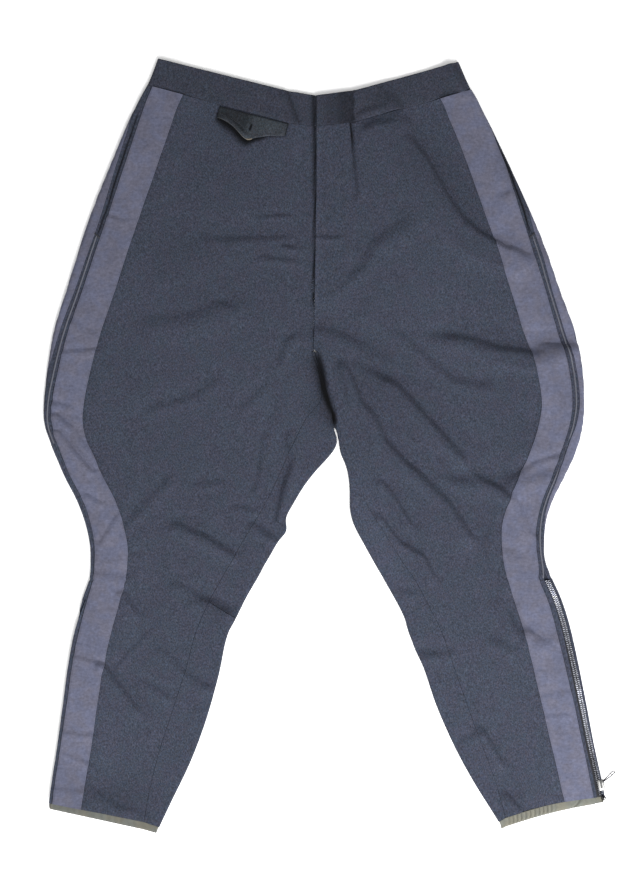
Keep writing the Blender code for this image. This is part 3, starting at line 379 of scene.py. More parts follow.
# Soft folds pressed into the underside, where the cloth stands off what it lies on: x, y, half width, height.
HOLLOWS = (
    ((-52, 338, 9, 0.8), (-121, 288, 10, 0.9), (-198, 226, 9, 0.5)),
    ((-44, 232, 7, 0.5), (-132, 196, 8, 0.7), (-239, 171, 7, 0.4)),
    ((-31, 118, 8, 0.9), (-96, 71, 9, 1.0), (-177, 38, 8, 0.6), (-262, 22, 7, 0.3)),
    ((-62, 31, 6, 0.6), (-118, -31, 7, 0.9), (-196, -74, 7, 0.5)),
    ((-108, -84, 7, 0.7), (-171, -120, 8, 0.8), (-236, -139, 6, 0.4)),
    ((-138, -176, 6, 0.8), (-196, -171, 7, 0.9), (-247, -158, 6, 0.5)),
    ((-151, -232, 6, 0.6), (-209, -259, 7, 0.7), (-262, -270, 6, 0.3)),
    ((-182, -318, 7, 0.5), (-238, -352, 7, 0.7), (-286, -361, 5, 0.3)),
    ((-212, -421, 6, 0.5), (-268, -404, 6, 0.6)),
    ((58, 362, 9, 0.7), (119, 301, 10, 0.9), (171, 224, 9, 0.6)),
    ((36, 268, 7, 0.5), (98, 221, 8, 0.6), (212, 201, 8, 0.5), (268, 207, 6, 0.3)),
    ((31, 111, 8, 0.9), (104, 82, 9, 1.0), (191, 68, 9, 0.7), (277, 71, 7, 0.4)),
    ((61, 26, 7, 0.7), (127, 8, 8, 0.9), (214, -19, 7, 0.5)),
    ((96, -61, 7, 0.6), (162, -98, 8, 0.8), (238, -114, 6, 0.4)),
    ((119, -158, 6, 0.8), (181, -166, 7, 0.9), (251, -148, 6, 0.5)),
    ((152, -229, 6, 0.5), (219, -262, 7, 0.8), (278, -281, 6, 0.4)),
    ((192, -342, 7, 0.6), (247, -322, 7, 0.6), (296, -338, 5, 0.3)),
    ((221, -413, 6, 0.4), (282, -431, 7, 0.6), (318, -428, 5, 0.3)),
)


class Sections:
    """Sections across a leg at many places at once. s is measured in from the folded outer edge, in rows."""

    def __init__(self, leg, at, values=None):
        self.leg, self.at = leg, np.array(at, float)
        v = rows_through(leg.table, self.at) if values is None else values
        self.outer, self.mid, self.inner = v[:, 0:2] * (leg.side, 1), v[:, 2:4] * (leg.side, 1), v[:, 4:6] * (leg.side, 1)
        self.seam, self.stripe_out, self.stripe_in = v[:, 6], v[:, 7], v[:, 8]
        for name, place, spread, reach in BULGES:
            if name == leg.name:
                push = reach * np.exp(-(((self.at - place) / spread) ** 2))[:, None]
                run = self.inner - self.mid
                self.inner = self.inner + push * run / np.maximum(np.hypot(*run.T), 1.0)[:, None]
        for name, place, spread, reach in STEPS:
            if name == leg.name:
                push = reach * np.exp(-(((self.at - place) / spread) ** 2))[:, None]
                run = self.mid - self.outer
                self.outer = self.outer + push * run / np.hypot(*run.T)[:, None]
        self.to_mid = np.hypot(*(self.mid - self.outer).T)
        self.length = self.to_mid + np.hypot(*(self.inner - self.mid).T)
        self.back_edge = self.seam - SEAM / 2
        if leg.side > 0:
            turned = np.clip(self.at - SECTION["knee"], 0, 1)
            self.back_edge = self.back_edge * (1 - turned) + ZIP_OPENING[0] * turned
        self.placket = smooth(self.at - SECTION["cross_seam"]) if leg.side < 0 else 0 * self.at
        self.placket_stop = np.minimum(self.placket / 0.5, 1.0) * 0.72
        # Under the fork the legs' lower layers reach towards each other.
        at = self.at
        self.slump = (3.0 if leg.side < 0 else 4.6) * smooth((at - 6.9) / 0.8) * (1 - smooth((at - 9.0) / 0.35))
        # The hem of the left leg is cut on a shallow curve.
        self.bow = 5.5 * smooth(at - 22.0) - 2.0 * smooth(at - 23.0) if leg.side > 0 else 0 * at

    def along(self):
        """Distance down the leg's outer edge, row by row."""
        steps = np.hypot(*np.diff(self.outer, axis=0).T)
        return np.concatenate(([0], np.cumsum(steps)))

    def plan(self, s):
        to_mid, length = self.to_mid[:, None], self.length[:, None]
        found = []
        rise = (1.15 + 0.55 * np.clip(self.at, -1, 0))[:, None]
        for axis, bend in ((0, 1), (1, -rise)):
            outer, mid, inner = self.outer[:, axis, None], self.mid[:, axis, None], self.inner[:, axis, None]
            run = (inner - mid) / (length - to_mid)
            first = outer + (mid - outer) * (s / to_mid)
            second = mid + run * (s - to_mid)
            beyond = inner + run * bend * (s - length)
            found.append(np.where(s <= to_mid, first, np.where(s <= length, second, beyond)))
        found[1] = found[1] + self.bow[:, None] * np.sin(math.pi * np.clip(s / length, 0, 1))
        return found

    def floor(self, s):
        under = (STRIPE_WIDTH + 3 - self.back_edge)[:, None]
        level = WALL + (STRIPE_WALL + LAID) * (1 - smooth((s - under) / 14))
        held = np.clip(s, 0, self.length[:, None])
        x, y = self.plan(held)
        free = smooth((held - under - 4) / 14) * smooth((self.length[:, None] - held - 10) / 14)
        free = free * smooth((self.at[:, None] - 0.15) / 0.5) * (1 - smooth((self.at[:, None] - 22.3) / 0.5))
        return level + hollow(x, y) * free

    def over(self, s):
        """Inner face of the top layer, following the folded outer edge down."""
        start = WALL + CURL
        first = np.full((len(self.at), 1), start)
        low = self.floor(first)
        high = np.maximum(self.roof(first), low + 1.7)
        half = (high - low) / 2
        turned = np.clip((start - s) / CURL, 0, 1)
        return np.where(s < start, low + half + half * np.sqrt(1 - turned**2), self.roof(np.maximum(s, start)))

    def roof(self, s):
        at, left = self.at[:, None], self.length[:, None] - s
        level = WALL + MID_GAP
        edge = WALL + STRIPE_WALL + LAID + EDGE_GAP + (PLACKET_GAP - EDGE_GAP) * self.placket[:, None]
        z = level + (edge - level) * (1 - smooth((s - self.stripe_in[:, None]) / 40))
        split = smooth(at - SECTION["seat"])
        z = z + (WALL + EDGE_GAP - level) * (1 - smooth((left - 6) / 30)) * split
        fly = 1 - smooth((at - SECTION["fly_end"] - 0.02) / 0.42)
        low, high = WALL + 0.9, WALL + 0.9 + FLY_STEP
        least = self.floor(s) + LEAST_GAP
        if self.leg.side < 0:
            near = (1 - smooth((left - 8) / 30)) * (1 - split)
            z = z + (low - level) * near * fly
            calm = 1 - near
        else:
            near = (1 - smooth((left - FLY_UNDER - 8) / 14)) * (1 - split)
            z = z + (high - level) * near * fly
            calm = 1 - 0 * near
            least = np.maximum(least, high * near * fly)
        x, y = self.plan(np.clip(s, 0, self.length[:, None]))
        calm = calm * (0.45 + 0.55 * smooth((s - 2) / 9)) * (1 - split + split * (0.35 + 0.65 * smooth((left - 3) / 10)))
        calm = calm * (0.25 + 0.75 * smooth((at + 0.02) / 0.4)) * (1 - 0.55 * smooth((at - 22.4) / 0.6))
        raised = relief(x, y)
        # Over the right leg's covered opening the cloth lies a little off its zip, and never lower.
        over = self.placket[:, None] * (1 - smooth((s - 26) / 16))
        raised = np.where(raised < 0, raised * (1 - over), raised)
        z = z + raised * calm
        return np.minimum(soft_least(z, least), self.floor(s) + MOST_GAP)

    def at_s(self, s, z):
        x, y = self.plan(s)
        return np.stack(np.broadcast_arrays(x, y, z), axis=2)

    def outer_round(self, share):
        """Points on the folded outer edge, from its top (0) round to its underside (1). share is in rows."""
        start = np.full((len(self.at), 1), WALL + CURL)
        low = self.floor(start)
        high = np.where(self.placket[:, None] > 0, low + EDGE_GAP, np.maximum(self.roof(start), low + 1.7))
        angle = math.pi * (0.5 - share)
        half = (high - low) / 2
        return self.at_s(start - CURL * np.cos(angle), low + half + half * np.sin(angle))

    def inner_round(self, share):
        start = (self.length - WALL - CURL)[:, None]
        low = np.full(start.shape, WALL)
        high = np.maximum(self.roof(start), low + 1.7)
        angle = math.pi * (share - 0.5)
        half = (high - low) / 2
        lean = self.slump[:, None] * (1 - smooth(share * 1.1))
        return self.at_s(start + CURL * np.cos(angle) + lean, low + half + half * np.sin(angle))

    def side_point(self, reach):
        """Points on the inner face of the side, this far from the side seam going out and round to the underside."""
        start = WALL + CURL
        seam = self.back_edge[:, None]
        flat = np.maximum(seam - start, 0.0)
        turn = math.pi * CURL
        onto = seam - reach
        top = self.at_s(onto, self.roof(onto))
        around = self.outer_round(np.clip((reach - flat) / turn, 0, 1))
        s = start + np.maximum(reach - flat - turn, 0)
        under = self.at_s(s, self.floor(s))
        on_top, on_round = (reach <= flat)[..., None], (reach <= flat + turn)[..., None]
        return np.where(on_top, top, np.where(on_round, around, under))


class Leg:
    def __init__(self, name, side, table, band_top):
        self.name, self.side, self.table, self.band_top = name, side, table, band_top

    def rows(self, start, end, step):
        """Sections about this far apart, from one named place to another, each a hair inside it."""
        low, high = SECTION[start], SECTION[end]
        found = []
        for k in range(low, high):
            a, b = self.table[k], self.table[k + 1]
            gap = (abs(a[2] - b[2]) + abs(a[4] - b[4])) / 2
            count = max(int(round(gap / step)), 1)
            found += [k + n / count for n in range(count)]
        found.append(high)
        found[0] += SEAM / 2 / abs(self.table[low][2] - self.table[low + 1][2])
        found[-1] -= SEAM / 2 / abs(self.table[high - 1][2] - self.table[high][2])
        return Sections(self, found)


LEGS = (Leg("r", -1, LEG_R, BAND_TOP_R), Leg("l", 1, LEG_L, BAND_TOP_L))


# ---------------------------------------------------------------- meshes


def from_parts(name, points, faces, fields=None, sharp=50):
    """A mesh object from points in millimetres, faces of point numbers, and numbers kept on its points."""
    mesh = bpy.data.meshes.new(name)
    points = np.asarray(points, float) + (CENTRE_X, CENTRE_Y, 0)
    mesh.from_pydata((points * MM).tolist(), [], faces if isinstance(faces, list) else faces.tolist())
    for key, values in (fields or {}).items():
        made = mesh.attributes.new(key, "FLOAT", "POINT")
        made.data.foreach_set("value", np.asarray(values, np.float32).ravel())
    mesh.shade_smooth()
    mesh.set_sharp_from_angle(angle=math.radians(sharp))
    obj = bpy.data.objects.new(name, mesh)
    bpy.context.scene.collection.objects.link(obj)
    return obj


def outward(grid, sign):
    found = np.cross(np.gradient(grid, axis=1), np.gradient(grid, axis=0)) * sign
    return found / np.maximum(np.linalg.norm(found, axis=2, keepdims=True), 1e-9)


def face_sign(grid):
    n, m = grid.shape[0] // 2, 0
    a, b, c = grid[n][m], grid[n][m + 1], grid[n + 1][m]
    return 1 if np.cross(b - a, c - a)[2] > 0 else -1


def edge_reach(grid, valid=None):
    """How far each point of a grid is from the sheet's own border, along its rows and its columns."""
    across = np.linalg.norm(np.diff(grid, axis=1), axis=2)
    down = np.linalg.norm(np.diff(grid, axis=0), axis=2)
    a = np.concatenate([np.zeros((grid.shape[0], 1)), np.cumsum(across, axis=1)], axis=1)
    d = np.concatenate([np.zeros((1, grid.shape[1])), np.cumsum(down, axis=0)], axis=0)
    return a, a[:, -1:] - a, d, d[-1:, :] - d


def shell(name, inner, wall, sign, valid=None, fields=None, rounding=1.1, lean=0.35, outer=None, rims=(True, True, True, True), hide=0.0):
    """A thin closed shell on a grid of inner points, with its outer face this far out and its borders rounded off.
    rims says which borders (first column, last column, first row, last row) are rounded."""
    inner = np.asarray(inner, float)
    n, m = inner.shape[:2]
    valid = np.ones((n, m), bool) if valid is None else valid
    a0, a1, d0, d1 = edge_reach(inner)
    if not valid.all():
        width = np.where(valid, a0, 0).max(axis=1, keepdims=True)
        a1 = np.where(valid, width - a0, 0)
        first = np.argmax(valid, axis=0)
        d0 = d0 - np.take_along_axis(d0, first[None, :], axis=0)
    near = np.full((n, m), 1e3)
    for used, value in zip(rims, (a0, a1, d0, d1)):
        if used:
            near = np.minimum(near, value)
    edge = np.minimum(np.minimum(a0, a1), np.minimum(d0, d1)) + 10 * hide
    near = near + 10 * hide
    thick = np.broadcast_to(np.asarray(wall, float), (n, m)).copy()
    if rounding:
        u = np.clip(near / rounding, 0, 1)
        thick *= lean + (1 - lean) * np.sqrt(1 - (1 - u) ** 2)
    top = inner + outward(inner, sign) * thick[..., None] if outer is None else outer
    index = np.full((n, m), -1)
    index[valid] = np.arange(valid.sum())
    count = int(valid.sum())
    quads = np.stack([index[:-1, :-1], index[:-1, 1:], index[1:, 1:], index[1:, :-1]], axis=2).reshape(-1, 4)
    quads = quads[(quads >= 0).all(axis=1)]
    if sign < 0:
        quads = quads[:, ::-1]
    edges = np.concatenate([quads[:, [k, (k + 1) % 4]] for k in range(4)])
    codes = edges[:, 0] * count + edges[:, 1]
    border = edges[~np.isin(edges[:, 1] * count + edges[:, 0], codes)]
    rim = np.stack([border[:, 1], border[:, 0], border[:, 0] + count, border[:, 1] + count], axis=1)
    faces = np.concatenate([quads, quads[:, ::-1] + count, rim])
    points = np.concatenate([top[valid], inner[valid]])
    kept = {"edge": edge, "down": d0, "across": a0, "dim": np.ones((n, m))}
    kept.update(fields or {})
    kept = {key: np.tile(np.broadcast_to(value, (n, m))[valid], 2) for key, value in kept.items()}
    used = np.zeros(len(points), bool)
    used[faces.ravel()] = True
    if not used.all():
        number = np.cumsum(used) - 1
        faces, points = number[faces], points[used]
        kept = {key: value[used] for key, value in kept.items()}
    return from_parts(name, points, faces, kept)


def tube(path, radius, sides=8, flat=1.0, closed=False):
    """Points and faces of a round rod along a path of points, in millimetres. flat squeezes it in height."""
    path = np.asarray(path, float)
    run = np.gradient(path, axis=0) if not closed else np.roll(path, -1, 0) - np.roll(path, 1, 0)
    run /= np.maximum(np.linalg.norm(run, axis=1, keepdims=True), 1e-9)
    up = np.array((0.0, 0.0, 1.0))
    side = np.cross(run, up)
    weak = np.linalg.norm(side, axis=1) < 1e-3
    side[weak] = (1, 0, 0)
    side /= np.linalg.norm(side, axis=1, keepdims=True)
    over = np.cross(side, run)
    radius = np.broadcast_to(np.asarray(radius, float), (len(path),))
    angle = np.arange(sides) * 2 * math.pi / sides
    points = path[:, None] + radius[:, None, None] * (np.cos(angle)[None, :, None] * side[:, None] + flat * np.sin(angle)[None, :, None] * over[:, None])
    count = len(path)
    faces = []
    for r in range(count if closed else count - 1):
        for c in range(sides):
            n, d = (r + 1) % count, (c + 1) % sides
            faces.append([r * sides + c, r * sides + d, n * sides + d, n * sides + c])
    if not closed:
        faces.append(list(range(sides))[::-1])
        faces.append([(count - 1) * sides + c for c in range(sides)])
    faces = [face[::-1] for face in faces]
    return points.reshape(-1, 3), faces


def joined(name, parts, fields=None, sharp=50):
    """One mesh from several lots of points and faces."""
    points, faces, start = [], [], 0
    for p, f in parts:
        points.append(np.asarray(p, float))
        faces += [[int(i) + start for i in face] for face in f]
        start += len(p)
    return from_parts(name, np.concatenate(points), faces, fields, sharp)


# ---------------------------------------------------------------- finishes


class Finish:
    """A procedural material, built node by node."""

    def __init__(self, name, roughness, **settings):
        self.material = bpy.data.materials.new(name)
        self.material.use_nodes = True
        self.tree = self.material.node_tree
        self.shader = self.tree.nodes["Principled BSDF"]
        self.shader.inputs["Roughness"].default_value = roughness
        for key, value in settings.items():
            self.shader.inputs[key.replace("_", " ").title().replace("Ior", "IOR")].default_value = value
        place = self.tree.nodes.new("ShaderNodeTexCoord")
        self.place = place.outputs["Object"]

    def node(self, kind, inputs=None, **settings):
        made = self.tree.nodes.new(kind)
        for key, value in settings.items():
            setattr(made, key, value)
        for key, value in (inputs or {}).items():
            socket = made.inputs[key]
            if isinstance(value, bpy.types.NodeSocket):
                self.tree.links.new(value, socket)
            else:
                socket.default_value = value
        return made

    def math(self, operation, a, b=0.0, c=0.0, clamp=False):
        return self.node("ShaderNodeMath", {0: a, 1: b, 2: c}, operation=operation, use_clamp=clamp).outputs[0]

    def placed(self, turn=0.0, stretch=(1, 1, 1), at=None):
        made = self.node("ShaderNodeMapping", {"Vector": at or self.place, "Rotation": (0, 0, math.radians(turn)), "Scale": stretch})
        return made.outputs["Vector"]

    def noise(self, size, detail=2.0, rough=0.5, at=None):
        """Noise from 0 to 1 with features of this size in millimetres."""
        made = self.node("ShaderNodeTexNoise", {"Vector": at or self.place, "Scale": 1000.0 / size, "Detail": detail, "Roughness": rough})
        return made.outputs[0]

    def about(self, value, spread, middle=1.0):
        """A value from 0 to 1 turned into a factor about the middle one."""
        made = self.node("ShaderNodeMapRange", {"Value": value, "From Min": 0.25, "From Max": 0.75, "To Min": middle - spread, "To Max": middle + spread})
        made.clamp = False
        return made.outputs[0]

    def field(self, name):
        return self.node("ShaderNodeAttribute", attribute_name=name).outputs["Fac"]

    def step(self, value, low, high, start=0.0, end=1.0):
        made = self.node("ShaderNodeMapRange", {"Value": value, "From Min": low, "From Max": high, "To Min": start, "To Max": end})
        made.interpolation_type = "SMOOTHSTEP"
        return made.outputs[0]

    def times(self, *values):
        total = values[0]
        for value in values[1:]:
            total = self.math("MULTIPLY", total, value)
        return total

    def mix(self, share, a, b):
        made = self.node("ShaderNodeMix", data_type="RGBA")
        for k, value in ((0, share), (6, a), (7, b)):
            if isinstance(value, bpy.types.NodeSocket):
                self.tree.links.new(value, made.inputs[k])
            else:
                made.inputs[k].default_value = (*value, 1.0) if isinstance(value, tuple) else value
        return made.outputs[2]

    def shade(self, colour, factor):
        """A colour made lighter or darker by a factor."""
        made = self.node("ShaderNodeVectorMath", {0: colour if isinstance(colour, bpy.types.NodeSocket) else tuple(colour)}, operation="SCALE")
        self.tree.links.new(factor, made.inputs["Scale"])
        return made.outputs[0]

    def colour(self, value):
        self.tree.links.new(value, self.shader.inputs["Base Color"])

    def rough(self, value):
        self.tree.links.new(value, self.shader.inputs["Roughness"])

    def bump(self, height, depth, strength=1.0):
        """Relief of this depth in millimetres for a height from 0 to 1."""
        made = self.node("ShaderNodeBump", {"Height": height, "Strength": strength, "Distance": depth * MM})
        self.tree.links.new(made.outputs["Normal"], self.shader.inputs["Normal"])


def twill(name, colour, lift=1.0, turn=62.0):
    """Wool twill with fibres of lighter and darker blue-grey in it."""
    f = Finish(name, 0.92, sheen_weight=0.03, sheen_roughness=0.5, specular_ior_level=0.08)
    warp = f.noise(9, 2, 0.5)
    ribs = f.node("ShaderNodeTexWave", {"Vector": f.placed(turn), "Scale": 0.314 / 0.0015, "Distortion": 1.1, "Detail": 1.5, "Detail Scale": 2.0}).outputs[1]
    fibre = f.noise(1.25, 1.5, 0.6, f.placed(turn, (1, 0.6, 1)))
    fleck = f.noise(2.6, 1.0, 0.5)
    fine = f.noise(0.5, 1.0, 0.5)
    slow = f.noise(120, 2.0, 0.5)
    factor = f.times(f.about(fibre, 0.5), f.about(fleck, 0.25), f.about(ribs, 0.06), f.about(warp, 0.05), f.about(slow, 0.04), f.field("dim"))
    edge = f.field("edge")
    factor = f.times(factor, f.step(edge, 0.02, 0.7, 0.88, 1.0))
    fine_mix = f.step(f.noise(2.2, 1.5, 0.6), 0.36, 0.64)
    cast = []
    for tint in ((1.025, 0.985, 1.0), (0.97, 1.012, 1.0)):
        blue = tuple(c * t * k for c, t, k in zip(colour, tint, (0.94, 1.01, 1.06)))
        grey = tuple(c * t * k for c, t, k in zip(colour, tint, (1.07, 0.995, 0.93)))
        cast.append(f.mix(fine_mix, grey, blue))
    mixed = f.mix(f.step(f.noise(19, 2.5, 0.6), 0.4, 0.6), cast[0], cast[1])
    f.colour(f.shade(mixed, f.math("MULTIPLY", factor, lift)) if lift != 1.0 else f.shade(mixed, factor))
    f.rough(f.about(fleck, 0.06, 0.88))
    nap = f.math("ADD", f.times(ribs, 0.55), f.math("ADD", f.times(fibre, 0.7), f.times(fine, 0.3)))
    f.bump(nap, 0.26, 0.8)
    return f.material


def stripe_cloth(name, colour):
    """Smooth fulled stripe cloth, with a line of stitches inside each of its edges."""
    f = Finish(name, 0.88, sheen_weight=0.05, sheen_roughness=0.45, specular_ior_level=0.12)
    across = f.placed(0, (0.45, 1, 1))
    mottle = f.noise(3.4, 2.0, 0.55)
    brushed = f.noise(2.4, 1.5, 0.5, across)
    slow = f.noise(26, 2.0, 0.5)
    fine = f.noise(0.7, 1.0, 0.6)
    factor = f.times(f.about(mottle, 0.17), f.about(brushed, 0.11), f.about(slow, 0.09), f.about(fine, 0.1), f.field("dim"))
    edge, down = f.field("across_edge"), f.field("down")
    dash = f.step(f.math("PINGPONG", down, 1.5), 0.35, 0.6)
    line = f.math("SUBTRACT", 1.0, f.step(f.math("ABSOLUTE", f.math("SUBTRACT", edge, 1.7)), 0.25, 0.7), clamp=True)
    sewn = f.times(line, dash)
    factor = f.times(factor, f.step(edge, 0.0, 1.0, 0.88, 1.0), f.math("SUBTRACT", 1.0, f.times(sewn, 0.12)))
    tint = f.mix(f.step(f.noise(14, 2.0, 0.5), 0.35, 0.65), tuple(c * k for c, k in zip(colour, (1.03, 1.0, 0.96))), tuple(c * k for c, k in zip(colour, (0.97, 1.0, 1.04))))
    f.colour(f.shade(tint, factor))
    f.rough(f.about(mottle, 0.05, 0.84))
    nap = f.math("ADD", f.times(mottle, 0.5), f.math("ADD", f.times(fine, 0.5), f.times(brushed, 0.3)))
    f.bump(f.math("SUBTRACT", nap, f.times(line, 0.55)), 0.24, 0.7)
    return f.material


def ribbed_tape(name, colour, pitch, field="across", spread=0.12):
    """Woven tape or petersham with ribs across it."""
    f = Finish(name, 0.85, sheen_weight=0.08, specular_ior_level=0.3)
    rib = f.step(f.math("PINGPONG", f.field(field), pitch / 2), 0, pitch / 2)
    weave = f.noise(0.6, 1.5, 0.6)
    wear_and_shine = f.noise(7, 2.0, 0.6)
    factor = f.times(f.about(rib, 0.09), f.about(weave, spread), f.about(wear_and_shine, 0.13), f.step(f.field("edge"), 0, 0.8, 0.8, 1.0), f.field("dim"))
    warm = f.mix(f.step(f.noise(22, 2.0, 0.5), 0.38, 0.62), tuple(c * k for c, k in zip(colour, (1.04, 1.0, 0.94))), tuple(c * k for c, k in zip(colour, (0.96, 1.0, 1.04))))
    f.colour(f.shade(warm, factor))
    f.rough(f.about(wear_and_shine, 0.06, 0.84))
    f.bump(f.math("ADD", f.times(rib, 0.7), f.times(weave, 0.5)), 0.22, 0.9)
    return f.material


def thread(name, colour, gloss=0.35, nap=0.1):
    f = Finish(name, 0.7, sheen_weight=nap, specular_ior_level=gloss)
    twist = f.node("ShaderNodeTexWave", {"Vector": f.placed(38), "Scale": 0.314 / 0.0005, "Distortion": 0.8}).outputs[1]
    fibre = f.noise(0.4, 1.5, 0.6)
    f.colour(f.shade(colour, f.times(f.about(twist, 0.1), f.about(fibre, 0.12))))
    f.rough(f.about(fibre, 0.08, 0.68))
    f.bump(f.math("ADD", twist, fibre), 0.08, 0.8)
    return f.material


def metal(name, colour, roughness, wear_and_shine=0.12, varied=False):
    """Nickel-plated metal, dulled in places and finely scratched."""
    f = Finish(name, roughness, metallic=1.0)
    cloud = f.noise(4.5, 3.0, 0.6)
    scratch = f.noise(0.5, 2.0, 0.7, f.placed(33, (1, 0.12, 1)))
    dull = f.step(f.noise(2.2, 3.0, 0.65), 0.5, 0.72)
    factor = f.times(f.about(cloud, 0.08), f.about(scratch, 0.05), f.math("SUBTRACT", 1.0, f.times(dull, wear_and_shine)))
    f.colour(f.shade(colour, f.times(factor, f.field("dim")) if varied else factor))
    f.rough(f.math("ADD", f.about(scratch, 0.06, roughness), f.times(dull, 0.16)))
    f.bump(f.math("ADD", scratch, f.times(cloud, 0.6)), 0.02, 0.6)
    return f.material


CLOTH = twill("cloth_twill", (0.0268, 0.0307, 0.0452))
BAND = twill("band_twill", (0.0228, 0.0256, 0.0368), turn=-28.0)
STRIPE = stripe_cloth("stripe_cloth", (0.0700, 0.0725, 0.1045))
PIPING = thread("piping_cloth", (0.058, 0.061, 0.080))
TAPE = ribbed_tape("hem_ribbon", (0.106, 0.1065, 0.090), 1.5)
# A darker ribbon for the right leg's hem.
DARK_TAPE = ribbed_tape("hem_ribbon_darker", (0.0765, 0.0765, 0.0655), 1.5)
ZIP_TAPE = ribbed_tape("zip_ribbon", (0.0112, 0.0119, 0.0147), 1.2, "down")
THREAD = thread("sewing_thread", (0.019, 0.021, 0.029))
TACK = thread("tack_thread", (0.03, 0.0305, 0.036), 0.15, 0.04)
# Pale thread colour for the flap's rim, a painted highlight.
RIM = thread("edge_highlight", (0.056, 0.055, 0.054))
TAN = thread("worn_corner", (0.088, 0.074, 0.056))
DARK = thread("buttonhole_thread", (0.0045, 0.005, 0.0065), 0.06, 0.01)
TEETH = metal("zip_teeth_metal", (0.80, 0.82, 0.92), 0.3, varied=True)
NICKEL = metal("nickel_plate", (0.3, 0.3, 0.29), 0.34)
SLIDER_METAL = metal("zip_slider_metal", (0.27, 0.27, 0.265), 0.36, varied=True)
TAB_METAL = metal("pull_tab_metal", (0.03, 0.0295, 0.035), 0.46)
OXIDE = metal("darkened_metal", (0.06, 0.055, 0.05), 0.5)


def finished(obj, material, body="garment"):
    obj.data.materials.clear()
    obj.data.materials.append(material)
    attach(obj, body)
    return obj


# ---------------------------------------------------------------- panels


def columns_between(start, end, count, packed=(True, True)):
    """Columns from start to end (each one number per row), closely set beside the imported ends."""
    lead = np.array((0.0, 0.2, 0.5, 0.9, 1.5, 2.4))
    start, end = start[:, None], end[:, None]
    parts = []
    low, high = start, end
    if packed[0]:
        parts.append(start + lead[None, :-1])
        low = start + lead[-1]
    if packed[1]:
        high = end - lead[-1]
    parts.append(low + (high - low) * np.linspace(0, 1, count)[None, :])
    if packed[1]:
        parts.append(end - lead[None, :-1][:, ::-1])
    return np.concatenate(parts, axis=1)


FRONTS, BACKS, CALVES = {}, {}, {}


# Where the cloth is painted a little lighter or darker, as painted light and shade and as wear: x, y, half length, half
# width, heading, and by how much.
SHADE_AND_WEAR_PATCHES = (
    (10, 44, 24, 15, -40, -0.2),
    (84, -130, 86, 24, -67, 0.2),
    (-268, -458, 74, 26, -10, -0.22),
    (257, -460, 26, 16, 60, -0.16),
    (153, 190, 72, 52, 0, 0.13),
    (164, 352, 82, 26, -50, -0.15),
    (75, 96, 58, 25, -35, -0.15),
    (-142, 372, 90, 58, -60, -0.07),
    (-161, 255, 90, 48, 0, -0.06),
    (-129, -217, 26, 13, -28, -0.2),
    (230, 432, 34, 14, -65, 0.2),
    (262, 344, 44, 11, -62, -0.22),
    (242, 288, 22, 16, 0, 0.12),
    (306, 118, 28, 13, 8, -0.3),
    (291, 58, 30, 24, 0, 0.12),
    (108, 445, 55, 22, 15, 0.12),
)


# Painted light and shade, with some wear: a factor from the soft patches of the table.
def shade_and_wear(x, y):
    total = np.ones(x.shape)
    for middle_x, middle_y, length, width, heading, gain in SHADE_AND_WEAR_PATCHES:
        angle = math.radians(heading)
        u = ((x - middle_x) * math.cos(angle) + (y - middle_y) * math.sin(angle)) / length
        v = ((y - middle_y) * math.cos(angle) - (x - middle_x) * math.sin(angle)) / width
        total = total * (1 + gain * np.exp(-(u**2 + v**2)))
    return total


# Painted shadow in the deep fold between the legs, under the fork: x and y of its bottom, reach towards the right leg
# and the left, depth.
FORK_FOLD_SHADOW = (
    (4.9, 124.8, 9, 3, 0.1), (7.2, 114.4, 9.5, 3.4, 0.86), (8.3, 104, 9.2, 4.2, 0.94), (10.7, 93.6, 9.2, 4.4, 0.96),
    (11.7, 83.2, 8.0, 5.2, 0.98), (13.3, 72.8, 7.4, 5.0, 0.99), (16.5, 62.4, 7.0, 4.8, 0.99), (20, 52, 5.4, 4.2, 1.0),
    (25, 41.6, 5.8, 2.6, 1.0), (26.8, 31.2, 5.8, 2.4, 1.0), (27.8, 23.4, 3.4, 1.6, 0.3),
)
# The pocket mouths at the side seams, painted dark as shadow over a shallow dip: x, y and how deep, from the waist down
# to the tack.
POCKET_MOUTHS = {
    "r": (
        (-229.5, 436, 0.0), (-230.8, 428, 0.6), (-234.7, 417.3, 0.6), (-238.8, 404.3, 0.72), (-243.8, 391.3, 0.74), (-249.9, 371.8, 0.86),
        (-256.6, 352.3, 0.88), (-262.6, 332.8, 0.86), (-267.8, 313.3, 0.66), (-275.6, 293.8, 0.66), (-280.5, 278.2, 0.66), (-281, 276, 0.0),
    ),
    "l": (
        (219.5, 436, 0.0), (221.5, 429, 0.5), (228.4, 410.8, 0.55), (237.3, 391.3, 0.5), (247.2, 371.8, 0.72), (255, 352.3, 0.9),
        (261.8, 332.8, 0.9), (271.9, 306.8, 0.9), (278.6, 280.8, 0.86), (280, 275, 0.0),
    ),
}


def beside(path, x, y):
    """Signed distance to the nearest stretch of a path (positive on the left of its run), and the path's other numbers there."""
    path = np.array(path, float)
    best = np.full(x.shape, 1e9)
    rest = [np.zeros(x.shape) for _ in range(path.shape[1] - 2)]
    for a, b in zip(path[:-1], path[1:]):
        run = b[:2] - a[:2]
        length = float(np.hypot(*run))
        run = run / length
        along = np.clip((x - a[0]) * run[0] + (y - a[1]) * run[1], 0, length)
        off_x, off_y = x - a[0] - along * run[0], y - a[1] - along * run[1]
        distance = np.hypot(off_x, off_y)
        side = np.sign(off_y * run[0] - off_x * run[1])
        take = distance < np.abs(best)
        best = np.where(take, distance * np.where(side == 0, 1, side), best)
        for k, old in enumerate(rest):
            rest[k] = np.where(take, a[k + 2] + (b[k + 2] - a[k + 2]) * along / length, old)
    return [best] + rest


